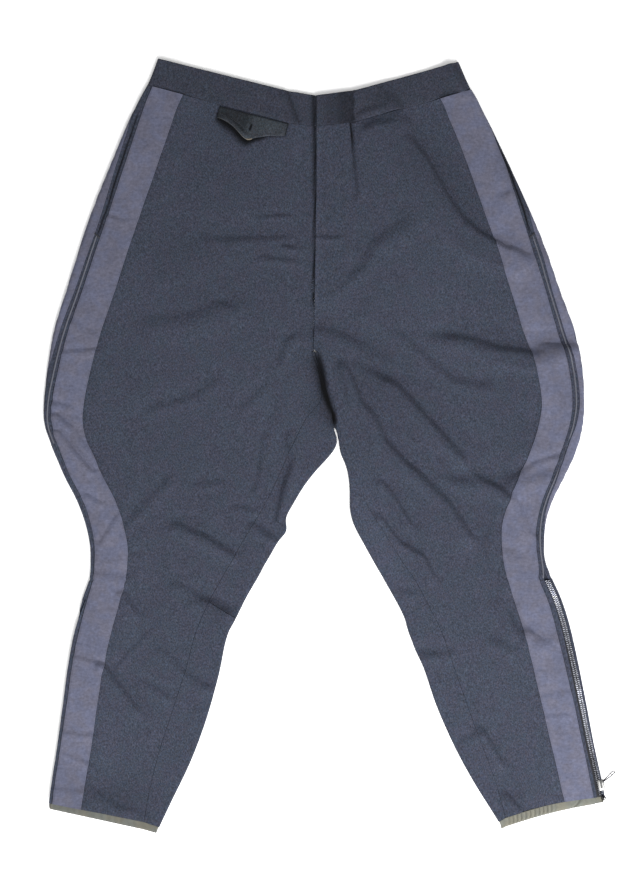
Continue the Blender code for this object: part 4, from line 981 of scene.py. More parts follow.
def fork_shade(x, y):
    """How much painted shadow a place gets in the fold between the legs, from 0 to 1."""
    distance, right, left, depth = beside(FORK_FOLD_SHADOW, x, y)
    # The path runs down, so the left leg is on its left.
    share = np.abs(distance) / np.where(distance > 0, left, right)
    return depth * np.minimum(np.exp(-(share ** np.where(distance > 0, 2.6, 1.7))) + np.where(distance > 0, 0, 0.22 * np.exp(-((share / 2.0) ** 2))), 1.0)


def mouth_shade(leg, x, y):
    distance, depth = beside(POCKET_MOUTHS[leg.name], x, y)
    return depth * np.exp(-((distance / 1.55) ** 2))


def flap_shade(x, y):
    """Shade beside the lifted edge of the watch pocket's flap."""
    start, end = np.array(FLAP_START), np.array(FLAP_END)
    run = (end - start) / np.hypot(*(end - start))
    along = (x - start[0]) * run[0] + (y - start[1]) * run[1]
    depth = (x - start[0]) * run[1] - (y - start[1]) * run[0]
    past = depth - np.interp(along, [row[0] for row in FLAP], [row[1] for row in FLAP])
    side = np.maximum(-along, 0) + np.maximum(along - FLAP[-1][0], 0)
    weight = np.interp(along, (-4, 3, 20, 50, 64, 72, 92), (0.6, 1.0, 1.0, 1.0, 0.95, 0.5, 0.25))
    reach = np.interp(along, (0, 10, 30, 45, 52, 60, 72, 92), (5.0, 10.5, 10.5, 9.0, 6.5, 5.0, 2.8, 1.8))
    return weight * np.exp(-((np.maximum(past, 0) / reach) ** 3)) * np.exp(-((side / 1.6) ** 2)) * (past > -8)


def gathered(s, rows, leg):
    """The left front's columns, drawn closer together over the dart under the waistband."""
    if leg.side < 0:
        return s
    low, high = s[:, :1], s[:, -1:]
    width = high - low
    share = (s - low) / width
    middle = 1 - 50 / np.maximum(width, 200)
    half = 8 / np.maximum(width, 160)
    drawn = np.empty_like(share)
    for k in range(len(s)):
        m, h = float(middle[k, 0]), float(half[k, 0])
        drawn[k] = np.interp(share[k], (0, m - 0.11, m + 0.09, 1), (0, m - h, m + h, 1))
    keep = 1 - smooth((rows.at[:, None] - 3.6) / 2.0)
    return low + width * (drawn * keep + share * (1 - keep))


def front_panel(leg):
    rows = leg.rows("waist_seam", "hem", 2.75)
    start = rows.seam + SEAM / 2
    cut = rows.length - SEAM / 2
    if leg.side < 0:
        reach = 1 - smooth((rows.at - 4.45) / 0.42)
        cut = rows.length + (FLY_UNDER + SEAM / 2) * reach - SEAM / 2
    below = rows.at >= SECTION["fork"] - 1e-6
    end = np.where(below, rows.to_mid - SEAM / 2, cut)
    under_a, under_b = rows.stripe_out + 3, rows.stripe_in - 3
    s = np.concatenate(
        [
            columns_between(start, rows.stripe_out + 0.8, 11, (True, False)),
            rows.stripe_out[:, None] + np.array((1.9, 3.0)),
            under_a[:, None] + (under_b - under_a)[:, None] * np.linspace(0, 1, 10)[None, 1:-1],
            rows.stripe_in[:, None] + np.array((-3.0, -1.9, -0.8)),
            gathered(columns_between(rows.stripe_in + 0.4, end, 86, (False, True)), rows, leg),
        ],
        axis=1,
    )
    z = rows.roof(s)
    at = rows.at[:, None]
    left = rows.length[:, None] - s
    x, y = rows.plan(s)
    # Painted shade in the cloth beside the stripes' edges, then the patches of painted light and shade with some wear.
    dim = 1 - 0.1 * np.exp(-(((s - rows.stripe_in[:, None] - 0.6) / 0.9) ** 2)) - 0.12 * np.exp(-(((s - rows.stripe_out[:, None] + 0.7) / 0.8) ** 2))
    dim = dim * shade_and_wear(x, y)
    if leg.side < 0:
        # The folded edge is painted paler below the wing.
        dim = dim * (1 + 0.34 * np.exp(-((s / 5.5) ** 2)) * smooth((at - 9.4) / 0.6) * (1 - smooth((at - 17.6) / 0.8)))
    # Painted shadow in the pocket's mouth, over a shallow dip.
    slit = mouth_shade(leg, x, y)
    z = z - 0.7 * slit
    dim = dim * (1 - slit)
    if leg.side < 0:
        # Painted shadow along the fly, beside the left front's overlapping edge.
        opening = 1 - smooth((at - 5.0) / 0.25)
        edge_x = rows_through(LEG_L, rows.at)[:, 4, None]
        off = x - edge_x + 1.3
        wide = np.interp(at, (0, 1.6, 2.4, 5), (3.6, 3.4, 1.9, 1.9))
        gap = np.exp(-((off / np.where(off < 0, wide, 1.3)) ** 2)) * (0.2 + 0.8 * opening) * (1 - smooth((at - 6.6) / 0.4))
        dim = dim * (1 - 0.9 * gap)
        z = z - 0.35 * gap * opening
        deep = np.exp(-((np.maximum(left - 1.0, 0) / 7.0) ** 2)) * smooth((at - 6.35) / 0.6) * (1 - smooth((at - 9.1) / 0.35))
        z = z - 1.5 * deep
        dim = dim * (1 - 0.95 * flap_shade(x, y))
    else:
        lift = np.exp(-(((left - 7) / 7.0) ** 2)) * smooth((at - 6.4) / 0.6) * (1 - smooth((at - 9.0) / 0.9))
        z = z + 1.5 * lift
        # Painted shade at the left front's edge over the fly, and a painted highlight just inside it.
        dim = dim * (1 - 0.3 * np.exp(-((left / 0.6) ** 2)) * (1 - smooth((at - 5.2) / 0.3)))
        dim = dim * (1 + 0.14 * np.exp(-(((left - 2.6) / 1.8) ** 2)) * (1 - smooth((at - 5.2) / 0.3)))
        # Painted shadow along the sharp start of the fold under the waistband, and a wider soft one beside it.
        line = np.interp(-y, (-418.6, -405.6, -393.9), (46.7, 48.7, 49.8))
        dim = dim * (1 - 0.93 * np.exp(-(((x - line) / np.interp(y, (385, 415), (2.2, 1.3))) ** 2)) * smooth((y - 380) / 26))
        dim = dim * (1 - 0.2 * np.exp(-(((x - line - 1) / 4.5) ** 2)) * smooth((y - 330) / 40))
    dim = dim * (1 - 0.97 * fork_shade(x, y))
    # The left leg's inseam lies on the fold, out of sight, down to the thigh.
    hide = smooth((at - 7.2) / 0.4) * (1 - smooth((at - 11.6) / 0.5)) if leg.side > 0 else 0 * at
    grid = rows.at_s(s, z)
    sign = face_sign(grid)
    obj = shell(
        f"trouser_front_{leg.name}", grid, WALL - 0.15, sign, rounding=0.6, lean=0.72, rims=(True, True, False, False),
        fields={"down": rows.along()[:, None] + 0 * s, "dim": dim}, hide=hide * (s > rows.to_mid[:, None] * 0.5),
    )
    FRONTS[leg.name] = finished(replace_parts(obj, f"front_{leg.name}"), CLOTH)
    return obj


def back_grid(rows):
    """Rows from the side seam over the folded edge, along the underside, and over the inner edge to the inseam."""
    one = np.ones(len(rows.at))
    flat = np.maximum(rows.back_edge - WALL - CURL, 0.0)
    lead = np.array((0.0, 0.2, 0.5, 0.9, 1.5))
    flat_s = rows.back_edge[:, None] - np.minimum(lead[None, :], flat[:, None] * np.linspace(0, 1, 5)[None, :])
    first_reach = rows.back_edge[:, None] - flat_s
    reach = np.concatenate([first_reach, first_reach[:, -1:] + (flat[:, None] - first_reach[:, -1:]) * np.linspace(0, 1, 5)[None, 1:]], axis=1)
    side = rows.at_s(rows.back_edge[:, None] - reach, rows.roof(rows.back_edge[:, None] - reach))
    shares = rows.placket_stop[:, None] + (1 - rows.placket_stop[:, None]) * np.linspace(0, 1, 9)[None, :]
    turn = rows.outer_round(shares)
    closed = (rows.placket > 0)[:, None, None]
    side = np.where(closed, turn[:, :1] + 0 * side, side)
    # Where the side band has run out into the placket its columns share the fold's first point.
    fan = np.linspace(0, 1, side.shape[1])[None, :, None] * 0.02
    side = np.where(closed, side + (turn[:, 1:2] - turn[:, :1]) * fan, side)
    low_s = WALL + CURL
    last = rows.length - WALL - CURL
    below = rows.at >= SECTION["fork"] - 1e-6
    stop = np.where(below, last + rows.slump, rows.length - SEAM / 2)
    s_under = low_s * one[:, None] + (stop - low_s)[:, None] * np.linspace(0, 1, 44)[None, 1:]
    under = rows.at_s(s_under, rows.floor(s_under))
    around = rows.inner_round(np.linspace(0, 1, 9)[None, 1:] + 0 * one[:, None])
    s_top = columns_between(-last, -(rows.to_mid + SEAM / 2), 15, (False, True))[:, 1:] * -1
    top = rows.at_s(s_top, rows.roof(s_top))
    grid = np.concatenate([side, turn[:, 1:], under, around, top], axis=1)
    valid = np.ones(grid.shape[:2], bool)
    valid[~below, side.shape[1] + 8 + 43 :] = False
    inner_part = np.zeros(grid.shape[:2])
    inner_part[:, side.shape[1] + 8 + 43 - 2 :] = 1.0
    x, y = grid[..., 0], grid[..., 1]
    side_part = np.zeros(grid.shape[:2])
    side_part[:, : side.shape[1] + 5] = 1.0
    # The folded edge is painted paler below the wing, as on the front.
    if rows.leg.side < 0:
        pale = 1 + 0.34 * side_part * smooth((rows.at - 9.4) / 0.6)[:, None] * (1 - smooth((rows.at - 17.6) / 0.8))[:, None]
    else:
        pale = 1.0
    dim = pale * shade_and_wear(x, y) * (1 - 0.97 * inner_part * fork_shade(x, y)) * (1 - side_part * mouth_shade(rows.leg, x, y))
    return grid, valid, dim, inner_part


def back_panel(leg, start, end, name, node, kept):
    rows = leg.rows(start, end, 3.3)
    grid, valid, dim, inner_part = back_grid(rows)
    down = rows.along()[:, None] + np.zeros(grid.shape[:2])
    at = rows.at[:, None]
    hide = smooth((at - 7.2) / 0.4) * (1 - smooth((at - 11.6) / 0.5)) * inner_part if leg.side > 0 else 0.0
    obj = shell(name, grid, WALL, -leg.side, valid=valid, fields={"down": down, "dim": dim}, rims=(True, True, False, False), rounding=0.6, lean=0.72, hide=hide)
    kept[leg.name] = finished(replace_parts(obj, node), CLOTH)
    return obj


# ---------------------------------------------------------------- laid on


def front_stripe(leg):
    rows = leg.rows("waist_seam", "hem", 2.1)
    # At the top of the left leg it goes on round the folded edge.
    first = rows.stripe_out - (1.7 * (1 - smooth((rows.at - 1.0) / 1.4)) if leg.side > 0 else 0.0)
    width = (rows.stripe_in - first)[:, None]
    lead = np.array((0.0, 0.12, 0.35, 0.7, 1.2))
    places = np.concatenate([lead[None, :] + 0 * width, 2.2 + (width - 4.4) * np.linspace(0, 1, 17)[None, :], width - lead[None, ::-1]], axis=1)
    # The sewn edges wander by a hair.
    s = first[:, None] + places
    x, y = rows.plan(s)
    s = np.maximum(s + 0.28 * wander(x, y, 33, 5), WALL + 0.1)
    grid = rows.at_s(s, rows.over(s))
    sign = face_sign(grid)
    lift = WALL + 0.02 + 0.24 * smooth(np.minimum(places, width - places) / 2.5)
    base = grid + outward(grid, sign) * lift[..., None]
    near = np.minimum(places, width - places)
    obj = shell(
        f"side_stripe_front_{leg.name}", base, STRIPE_WALL, sign,
        fields={"down": rows.along()[:, None] + 0 * s, "across_edge": near, "dim": shade_and_wear(x, y)}, rounding=0.7, lean=0.45, rims=(True, True, False, False),
    )
    return finished(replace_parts(obj, f"stripe_front_{leg.name}"), STRIPE)


def back_stripe(leg):
    rows = leg.rows("waist_seam", "hem", 2.6)
    seam = rows.back_edge
    turn, flat = math.pi * CURL, np.maximum(seam - WALL - CURL, 0.0)
    close = np.minimum((3.8 - flat) / 1.8, 1.0)
    first = np.where(flat > 3.6, 3.2, flat + 0.18 * close * turn)
    opening = np.clip(rows.at - SECTION["cross_seam"], -1, 1) if leg.side < 0 else np.full(len(rows.at), -1.0)
    stop = rows.placket_stop
    covered = np.where(rows.placket > 0, 0.0, flat) + (stop + (1 - stop) * 0.15) * turn
    # Lower down its sewn edge lies on the far side of the fold.
    low_down = smooth((rows.at - (9.9 if leg.side < 0 else 15.3)) / 0.6)
    first = np.maximum(first, (flat + 0.62 * turn) * low_down + first * (1 - low_down))
    first = np.where(opening >= 0, np.maximum(covered, 0.8 * turn), first)
    # Beside the pocket's mouth its sewn edge comes up over the fold only little by little.
    emerging = ((0, 0.6, 1, 1.5, 2, 3, 3.74), (6.2, 6.2, 5.6, 5.6, 5.3, 4.2, 3.2)) if leg.side < 0 else ((0, 1, 2, 3, 3.5, 4), (2.6, 2.6, 3.1, 5.9, 4.6, 3.2))
    first = np.where(rows.at < emerging[0][-1], np.interp(rows.at, *emerging), first)
    if leg.side < 0:
        first = first + np.interp(rows.at, (3.74, 4.9, 6.0, 7.0, 8.2, 9.4, 10.4), (0.0, 1.6, 2.8, 3.9, 3.4, 2.2, 0.0))
    else:
        first = first + np.interp(rows.at, (3.6, 4.2, 4.6, 5.0, 5.8, 6.6, 7.0, 8.2, 9.0, 9.5, 10.3, 11.4, 13, 14.5, 15.5, 16), (0.0, 1.3, 0.8, 0.2, 0.0, 0.3, 0.7, 1.2, 0.4, -1.4, -1.5, -0.5, 0.3, 2.0, 1.0, 0.0))
    flat = np.where(rows.placket > 0, 0.0, flat)
    wide = (STRIPE_WIDTH - 1 - first)[:, None]
    lead = np.array((0.0, 0.12, 0.35, 0.7))
    places = np.concatenate([lead[None, :] + 0 * wide, 1.1 + (wide - 2.2) * np.linspace(0, 1, 22)[None, :] ** 1.25, wide - lead[None, ::-1]], axis=1)
    reach = first[:, None] + places
    if leg.side < 0:
        s = WALL + CURL + np.maximum(reach - turn, 0)
        covered_points = np.where((reach <= turn)[..., None], rows.outer_round(np.clip(reach / turn, 0, 1)), rows.at_s(s, rows.floor(s)))
        grid = np.where((rows.placket > 0)[:, None, None], covered_points, rows.side_point(reach))
    else:
        grid = rows.side_point(reach)
    sign = -leg.side
    near = np.minimum(places, wide - places)
    base = grid + outward(grid, sign) * (WALL + 0.05)
    # The underside stays flat where the garment rests.
    top = grid + outward(grid, sign) * (WALL + 0.05 + (STRIPE_WALL - 0.05) * (0.45 + 0.55 * np.sqrt(1 - (1 - np.clip(near / 0.7, 0, 1)) ** 2)))[..., None]
    top[..., 2] = np.maximum(top[..., 2], 0.0)
    base[..., 2] = np.maximum(base[..., 2], 0.05)
    # Its strip beside the front one is painted lighter below the pocket, more on the left leg, fading out past the
    # fold.
    back_tone = ((0.16 if leg.side > 0 else 0.1) * smooth((rows.at - 4.1) / 0.5) - 0.02)[:, None]
    obj = shell(
        f"side_stripe_back_{leg.name}", base, STRIPE_WALL, sign, outer=top, rims=(True, True, False, False),
        fields={"down": rows.along()[:, None] + 0 * reach, "across_edge": near, "dim": 0.94 + back_tone * (1 - smooth((reach - flat[:, None] - turn) / 9))},
    )
    return finished(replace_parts(obj, f"stripe_back_{leg.name}"), STRIPE)


def piping(leg):
    """A covered cord in the side seam."""
    # It starts under the pocket's tack. On the right leg it goes round the fold below the wing.
    rows = Sections(leg, np.linspace(3.74, 9.75 if leg.side < 0 else 15.9, 260))
    seam = rows.seam[:, None]
    path = rows.at_s(seam, rows.roof(seam))[:, 0]
    path[:, 2] += WALL + 0.25
    path[:, 0] += 0.16 * wander(path[:, 0], path[:, 1], 14, 6)
    ends = np.minimum(np.arange(len(path)), np.arange(len(path))[::-1]) * 1.5
    # On the left leg the two stripes close over it where the wing turns in.
    closed = smooth((rows.at - 9.25) / 0.4) * (1 - smooth((rows.at - 10.65) / 0.45)) * (leg.side > 0)
    path[:, 2] -= 1.15 * closed
    points, faces = tube(path, 1.05 * (0.55 + 0.45 * smooth(ends / 4)) * (1 - 0.4 * closed), sides=12)
    obj = joined(f"side_piping_{leg.name}", [(points, faces)])
    return finished(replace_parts(obj, f"piping_{leg.name}"), PIPING)


# ---------------------------------------------------------------- waistband


class BandSections(Sections):
    def __init__(self, leg, share):
        share = np.array(share, float)
        low, high = np.array(leg.table[0][1:], float), np.array(leg.band_top[1:], float)
        super().__init__(leg, -share, low + (high - low) * share[:, None])
        self.share = share
        self.seam = 0 * share + 4.2

    def floor(self, s):
        return BAND_WALL + 0 * s

    def roof(self, s):
        left = self.length[:, None] - s
        level = BAND_WALL + 1.5
        z = level + (EDGE_GAP - 1.5) * (1 - smooth((s - 8) / 40))
        if self.leg.side < 0:
            near = 1 - smooth((left - 8) / 30)
            z = z + (0.4 - 1.5) * near
            calm = smooth((left - 4) / 14)
            least = BAND_WALL + 0.4 + 0 * z
        else:
            near = 1 - smooth((left - BAND_UNDER - 4) / 16)
            high = 0.4 + BAND_WALL + SEAM
            z = z + (high - 1.5) * near
            calm = 1 + 0 * near
            least = BAND_WALL + 0.4 + (high - 0.4) * near
        x, y = self.plan(np.clip(s, 0, self.length[:, None]))
        z = z + relief(x, y) * calm * (0.4 + 0.6 * smooth((s - 2) / 9)) + self.pleat(x, y)
        return soft_least(z, least, 0.3)

    def pleat(self, x, y):
        """Where the band doubles over beside the front opening: higher cloth towards the side."""
        if self.leg.side < 0:
            return 0 * x
        line = 50.5 + (y - 435) * 0.02
        return 1.5 * smooth((x - line + 1.2) / 2.4) * np.exp(-(np.maximum(x - line, 0) / 24) ** 2) - 0.9 * np.exp(-(((x - line + 6.5) / 5.5) ** 2))

    def outer_round(self, share):
        start = np.full((len(self.at), 1), BAND_WALL + CURL)
        low, high = self.floor(start), np.maximum(self.roof(start), BAND_WALL + 1.7)
        angle = math.pi * (0.5 - share)
        half = (high - low) / 2
        return self.at_s(start - CURL * np.cos(angle), low + half + half * np.sin(angle))


def waistband(leg):
    share = np.concatenate([(0.0037, 0.008, 0.016, 0.03, 0.05), np.linspace(0.075, 0.925, 13), (0.95, 0.97, 0.984, 0.994, 1.0)])
    rows = BandSections(leg, share)
    start = BAND_WALL + CURL
    length = rows.length
    first = length + BAND_UNDER if leg.side < 0 else length - SEAM / 2
    s_top = columns_between(-first, np.full(len(share), -start), 86, (True, False)) * -1
    top = rows.at_s(s_top, rows.roof(s_top))
    turn = rows.outer_round(np.linspace(0, 1, 10)[None, 1:] + 0 * share[:, None])
    s_low = start + (length - SEAM / 2 - start)[:, None] * np.linspace(0, 1, 40)[None, 1:]
    under = rows.at_s(s_low, rows.floor(s_low))
    grid = np.concatenate([top, turn, under], axis=1)
    sign = face_sign(grid)
    dim = shade_and_wear(grid[..., 0], grid[..., 1])
    if leg.side > 0:
        # Painted shadow beside the band's pleat, and a painted shadow line along its edge over the opening.
        x = grid[..., 0] - 51.0
        above = grid[..., 2] > BAND_WALL + 0.3
        dim = dim - above * (0.5 * smooth((x + 24) / 12) * (1 - smooth((x - 0.2) / 1.4)) + 0.24 * smooth((x + 46) / 20) * (1 - smooth((x + 22) / 10)))
        dim = dim * (1 - 0.5 * above * np.exp(-(((grid[..., 0] - 1.9) / 0.9) ** 2)))
    else:
        # Painted shadow along the line of the opening and in the slanted fold.
        above = grid[..., 2] > BAND_WALL + 0.3
        off = grid[..., 0] + 0.4
        gap = np.exp(-((off / np.where(off < 0, 3.6, 1.6)) ** 2))
        slant = grid[..., 0] + 22 + (grid[..., 1] - 421) * 0.36
        fold = np.exp(-((slant / 3.4) ** 2)) * smooth((grid[..., 1] - 414) / 8)
        dim = dim * (1 - 0.86 * gap * above) * (1 - 0.42 * fold * above)
    obj = shell(f"trouser_waistband_{leg.name}", grid, BAND_WALL - 0.05, sign, rounding=1.1, lean=0.5, fields={"down": share[:, None] * 41 + np.zeros(grid.shape[:2]), "dim": dim})
    return finished(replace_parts(obj, f"waistband_{leg.name}"), BAND)


# ---------------------------------------------------------------- hem tape


def hem_tape(leg):
    """A ribbed ribbon round the leg end, drawn up in small gathers towards the inner side."""
    at = np.linspace(SECTION["hem"] + 0.01, SECTION["tape_end"], 9)
    rows = Sections(leg, at)
    low, high = TAPE_WALL, TAPE_WALL + 2.2
    radius = (high - low) / 2
    near = np.full(len(at), TAPE_WALL + radius + 0.6)
    far = rows.length - TAPE_WALL - radius - 0.6
    first = rows.seam + 1.5
    s_top = first[:, None] + (far - first)[:, None] * np.linspace(0, 1, 150)[None, :]
    x, y = rows.plan(s_top)
    share = np.linspace(0, 1, 9)[:, None]
    pucker = 0.28 * wander(x, y * 0.2, 5.5, 8) * (1 - 0.5 * share)
    if leg.side > 0:
        # Closer, deeper gathers over the front of this leg, with painted shade in their troughs and in the dent across
        # the ribbon.
        gather = smooth((s_top - 58) / 18) * (1 - smooth((s_top - 118) / 20))
        wave = np.cos(s_top * 2 * math.pi / 5.7 + 1.2 * wander(x, 0 * y, 19, 9))
        cross = np.exp(-(((s_top - 33 - 9 * share) / 2.2) ** 2))
        pucker = pucker + 0.95 * gather * wave * (1 - 0.35 * share) - 1.1 * cross
        dim = 1 - 0.3 * gather * smooth(-wave * 1.2) * (1 - 0.3 * share) - 0.3 * cross
    else:
        pucker = pucker + 0.22 * np.cos(s_top * 2 * math.pi / 9 + 2 * wander(x, 0 * y, 30, 9))
        dim = 1 + 0 * s_top
    z = high + 0.9 * np.sin(math.pi * share) * 0.4 + pucker * 0.8 + 0.5
    top = rows.at_s(s_top, np.maximum(z, low + 0.5))

    def bend(start, direction, shares):
        angle = math.pi * (shares - 0.5)
        return rows.at_s(start[:, None] + direction * radius * np.cos(angle), low + radius + radius * np.sin(angle))

    around = bend(far, 1, np.linspace(1, 0, 8)[None, 1:])
    s_low = far[:, None] + (near - far)[:, None] * np.linspace(0, 1, 60)[None, 1:]
    under = rows.at_s(s_low, low + 0 * s_low)
    back = bend(near, -1, np.linspace(0, 0.7, 6)[None, 1:])
    grid = np.concatenate([top, around, under, back], axis=1)
    sign = face_sign(grid)
    dims = np.ones(grid.shape[:2])
    dims[:, : dim.shape[1]] = dim
    obj = shell(f"hem_ribbon_{leg.name}", grid, TAPE_WALL - 0.1, sign, rounding=0.6, lean=0.4, rims=(True, True, False, True), fields={"dim": dims})
    return finished(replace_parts(obj, f"hem_tape_{leg.name}"), TAPE if leg.side > 0 else DARK_TAPE)


# ---------------------------------------------------------------- watch pocket


def height_on(leg, x, y, band=False):
    """Height of the top layer's outer face at places on a leg, above the knee."""
    x, y = np.atleast_1d(np.asarray(x, float)), np.atleast_1d(np.asarray(y, float))
    at = np.linspace(0.004, 9.0, 500)
    rows = Sections(leg, at)
    run = rows.mid - rows.outer
    off = (x.ravel()[:, None] - rows.outer[:, 0]) * run[:, 1] - (y.ravel()[:, None] - rows.outer[:, 1]) * run[:, 0]
    k = np.argmin(np.abs(off) / rows.to_mid, axis=1)
    s = np.hypot(x.ravel() - rows.outer[k, 0], y.ravel() - rows.outer[k, 1])
    one = Sections(leg, at[k])
    return (one.roof(s[:, None])[:, 0] + WALL - 0.15).reshape(x.shape)


def flap_table(along):
    """Depth and lift of the flap at places along its sewn edge."""
    table = np.array(FLAP, float)
    found = []
    for column in (1, 2):
        line = np.interp(along, table[:, 0], table[:, column])
        soft = sum(np.interp(along + d, table[:, 0], table[:, column]) for d in (-3, -1.5, 1.5, 3)) / 4
        found.append(line * 0.4 + soft * 0.6)
    return found


def watch_flap():
    leg = LEGS[0]
    start, end = np.array(FLAP_START), np.array(FLAP_END)
    total = float(np.hypot(*(end - start)))
    run = (end - start) / total
    drop = np.array((run[1], -run[0]))
    along = np.concatenate([(0, 0.35, 0.8, 1.4), np.linspace(2.1, total - 2.1, 82), total - np.array((1.4, 0.8, 0.35, 0))])
    depth, lift = flap_table(along)
    share = np.concatenate([(0, 0.02, 0.045), np.linspace(0.08, 0.86, 15), (0.9, 0.93, 0.96, 0.98, 0.99, 1.0)])[:, None]
    x = start[0] + run[0] * along[None, :] + drop[0] * depth[None, :] * share
    y = start[1] + run[1] * along[None, :] + drop[1] * depth[None, :] * share
    bed = height_on(leg, x, y)
    # It lies on the front at its sewn edge, and its free left side curls up off it.
    z = bed + 0.25 + lift[None, :] * share**2 * 1.15 + 0.12 * wander(x, y, 11, 4) * share
    curl = np.exp(-(((along - 32) / 19) ** 2))[None, :] * smooth((share - 0.72) / 0.28)
    z = z + 1.3 * curl
    # A soft dent left of the buttonhole, where the button pushes.
    z = z - 0.5 * np.exp(-(((along[None, :] - 33) / 7) ** 2) - ((share - 0.55) / 0.2) ** 2)
    near_top = share * depth[None, :]
    near_low = (1 - share) * depth[None, :]
    near_end = np.minimum(along, total - along)[None, :] + 0 * share
    # Painted shade on the curled-up left part, a lighter patch on the right part, and painted shadow lines along the
    # sewn top edge and at both ends.
    left_part = 1 - smooth((along[None, :] - 31 - 7 * (1 - share)) / 14)
    dim = 1.06 - 0.54 * left_part
    dim = dim * (1 + 0.12 * np.exp(-(((along[None, :] - 68) / 11) ** 2) - ((share - 0.6) / 0.3) ** 2))
    dim = dim * (1 - 0.6 * np.exp(-((near_top / 1.5) ** 2))) * (1 - 0.82 * np.exp(-(((total - along[None, :]) / 1.7) ** 2)))
    dim = dim * (1 - 0.3 * np.exp(-((along[None, :] / 1.5) ** 2)))
    # The thick lower edge on the right, painted lighter as highlight.
    dim = dim * (1 + 0.45 * np.exp(-((near_low / 1.3) ** 2)) * smooth((along[None, :] - 58) / 8) * (1 - smooth((along[None, :] - 84) / 6)))
    # The rolled border of the curled edge, painted lighter as highlight, with painted shade just inside it.
    rolled = smooth((along[None, :] - 3) / 8) * (1 - smooth((along[None, :] - 46) / 5))
    dim = dim + rolled * (0.55 * np.exp(-(((near_low - 1.6) / 2.6) ** 2)) - 0.16 * np.exp(-(((near_low - 6.5) / 2.2) ** 2)))
    # The slit of the buttonhole, painted dark as shadow.
    slit = np.abs((x - BUTTONHOLE[0]) * 0.94 - (y - BUTTONHOLE[1]) * 0.34)
    length = np.abs((x - BUTTONHOLE[0]) * 0.34 + (y - BUTTONHOLE[1]) * 0.94)
    dim = dim * (1 - 0.85 * np.exp(-((slit / 1.3) ** 2) - (length / 4.2) ** 4))
    grid = np.stack([x, y, z], axis=2)
    sign = face_sign(grid)
    obj = shell("watch_pocket_flap", grid, 1.45, sign, rounding=0.9, lean=0.4, fields={"dim": dim, "down": near_top + 0 * near_end})
    obj = finished(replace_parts(obj, "watch_flap"), FLAP_CLOTH)
    parts = []
    outer = grid + outward(grid, sign) * 1.35
    # Edge stitching, a few millimetres in from the free edge.
    for k in range(3, 84, 2):
        r = 13
        a, b = outer[r, k], outer[r, k + 1]
        step = (b - a) / np.linalg.norm(b - a)
        path = [a - step * 0.1 + (0, 0, -0.12), a + step * 0.25 + (0, 0, 0.1), b - step * 0.25 + (0, 0, 0.1), b + step * 0.1 + (0, 0, -0.12)]
        parts.append(tube(path, 0.2, 6))
    stitches = finished(joined("watch_flap_stitches", parts), THREAD)
    # The rim of the curled edge, a pale tube as painted highlight, palest at the point.
    tip = int(np.argmin(np.abs(along - 49)))
    edge = grid[-1, 1 : tip + 4] + outward(grid, sign)[-1, 1 : tip + 4] * 0.8
    wear = np.linspace(0, 1, len(edge))
    radius = (0.12 + 0.6 * smooth((wear - 0.55) / 0.4)) * np.clip(np.minimum(wear, 1 - wear) * 18, 0.25, 1)
    wear_and_shine = finished(joined("watch_flap_rim", [tube(edge, radius, 10)]), RIM)
    point = grid[-1, tip - 5 : tip + 3] + outward(grid, sign)[-1, tip - 5 : tip + 3] * 0.95
    place = np.linspace(0, 1, len(point))
    corner = finished(joined("watch_flap_corner", [tube(point, 0.35 + 0.7 * np.sqrt(np.sin(math.pi * np.clip(place, 0.04, 0.96))), 10)]), TAN)
    # Buttonhole: whipped bead round a narrow slit.
    bx, by, _, length = BUTTONHOLE
    angle = math.radians(-20)
    lengthwise, crosswise = np.array((-math.sin(angle), math.cos(angle))), np.array((math.cos(angle), math.sin(angle)))
    ring = []
    for t in np.linspace(0, 2 * math.pi, 46)[:-1]:
        wide = 0.95 + 0.35 * (math.sin(t) > 0.75)
        ring.append((bx, by) + crosswise * wide * math.cos(t) + lengthwise * (length / 2 - 0.4) * math.sin(t))
    ring = np.array(ring)
    above = flap_height(grid, outer, ring)
    bead = np.column_stack([ring, above + 0.12])
    parts = [tube(bead, 0.5, 8, closed=True)]
    middle = np.array([(bx, by) + lengthwise * d for d in np.linspace(-length / 2 + 1, length / 2 - 1, 12)])
    parts.append(tube(np.column_stack([middle, flap_height(grid, outer, middle) - 0.1]), 0.75, 8, flat=0.7))
    hole = finished(joined("watch_flap_buttonhole", parts), DARK)
    return obj, [stitches, wear_and_shine, corner, hole]


def flap_height(grid, outer, places):
    flat = outer.reshape(-1, 3)
    found = []
    for place in places:
        k = np.argsort(np.hypot(flat[:, 0] - place[0], flat[:, 1] - place[1]))[:4]
        found.append(flat[k, 2].mean())
    return np.array(found)


FLAP_CLOTH = twill("flap_twill", (0.0228, 0.0266, 0.0328), turn=-12.0)


# ---------------------------------------------------------------- side openings


def zip_tape(leg):
    low = WALL + STRIPE_WALL + LAID
    if leg.side > 0:
        start, inside, outside, height = "knee_notch", ZIP_TAPE_REACH, 2.3, low + EDGE_GAP - 1.2
    else:
        start, inside, outside, height = "below_knee", ZIP_TAPE_REACH, ZIP_WIDTH + 2.2, low + 1.2
    rows = leg.rows(start, "hem", 3.0)
    one = np.ones(len(rows.at))
    s = columns_between(outside * one, inside * one, 10)
    x, y = rows.plan(s)
    grid = rows.at_s(s, height + 0.12 * wander(x, y, 13, 3))
    sign = face_sign(grid)
    obj = shell(f"zip_ribbon_{leg.name}", grid, 0.6, sign, rounding=0.3)
    return finished(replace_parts(obj, f"zip_tape_{leg.name}"), ZIP_TAPE)


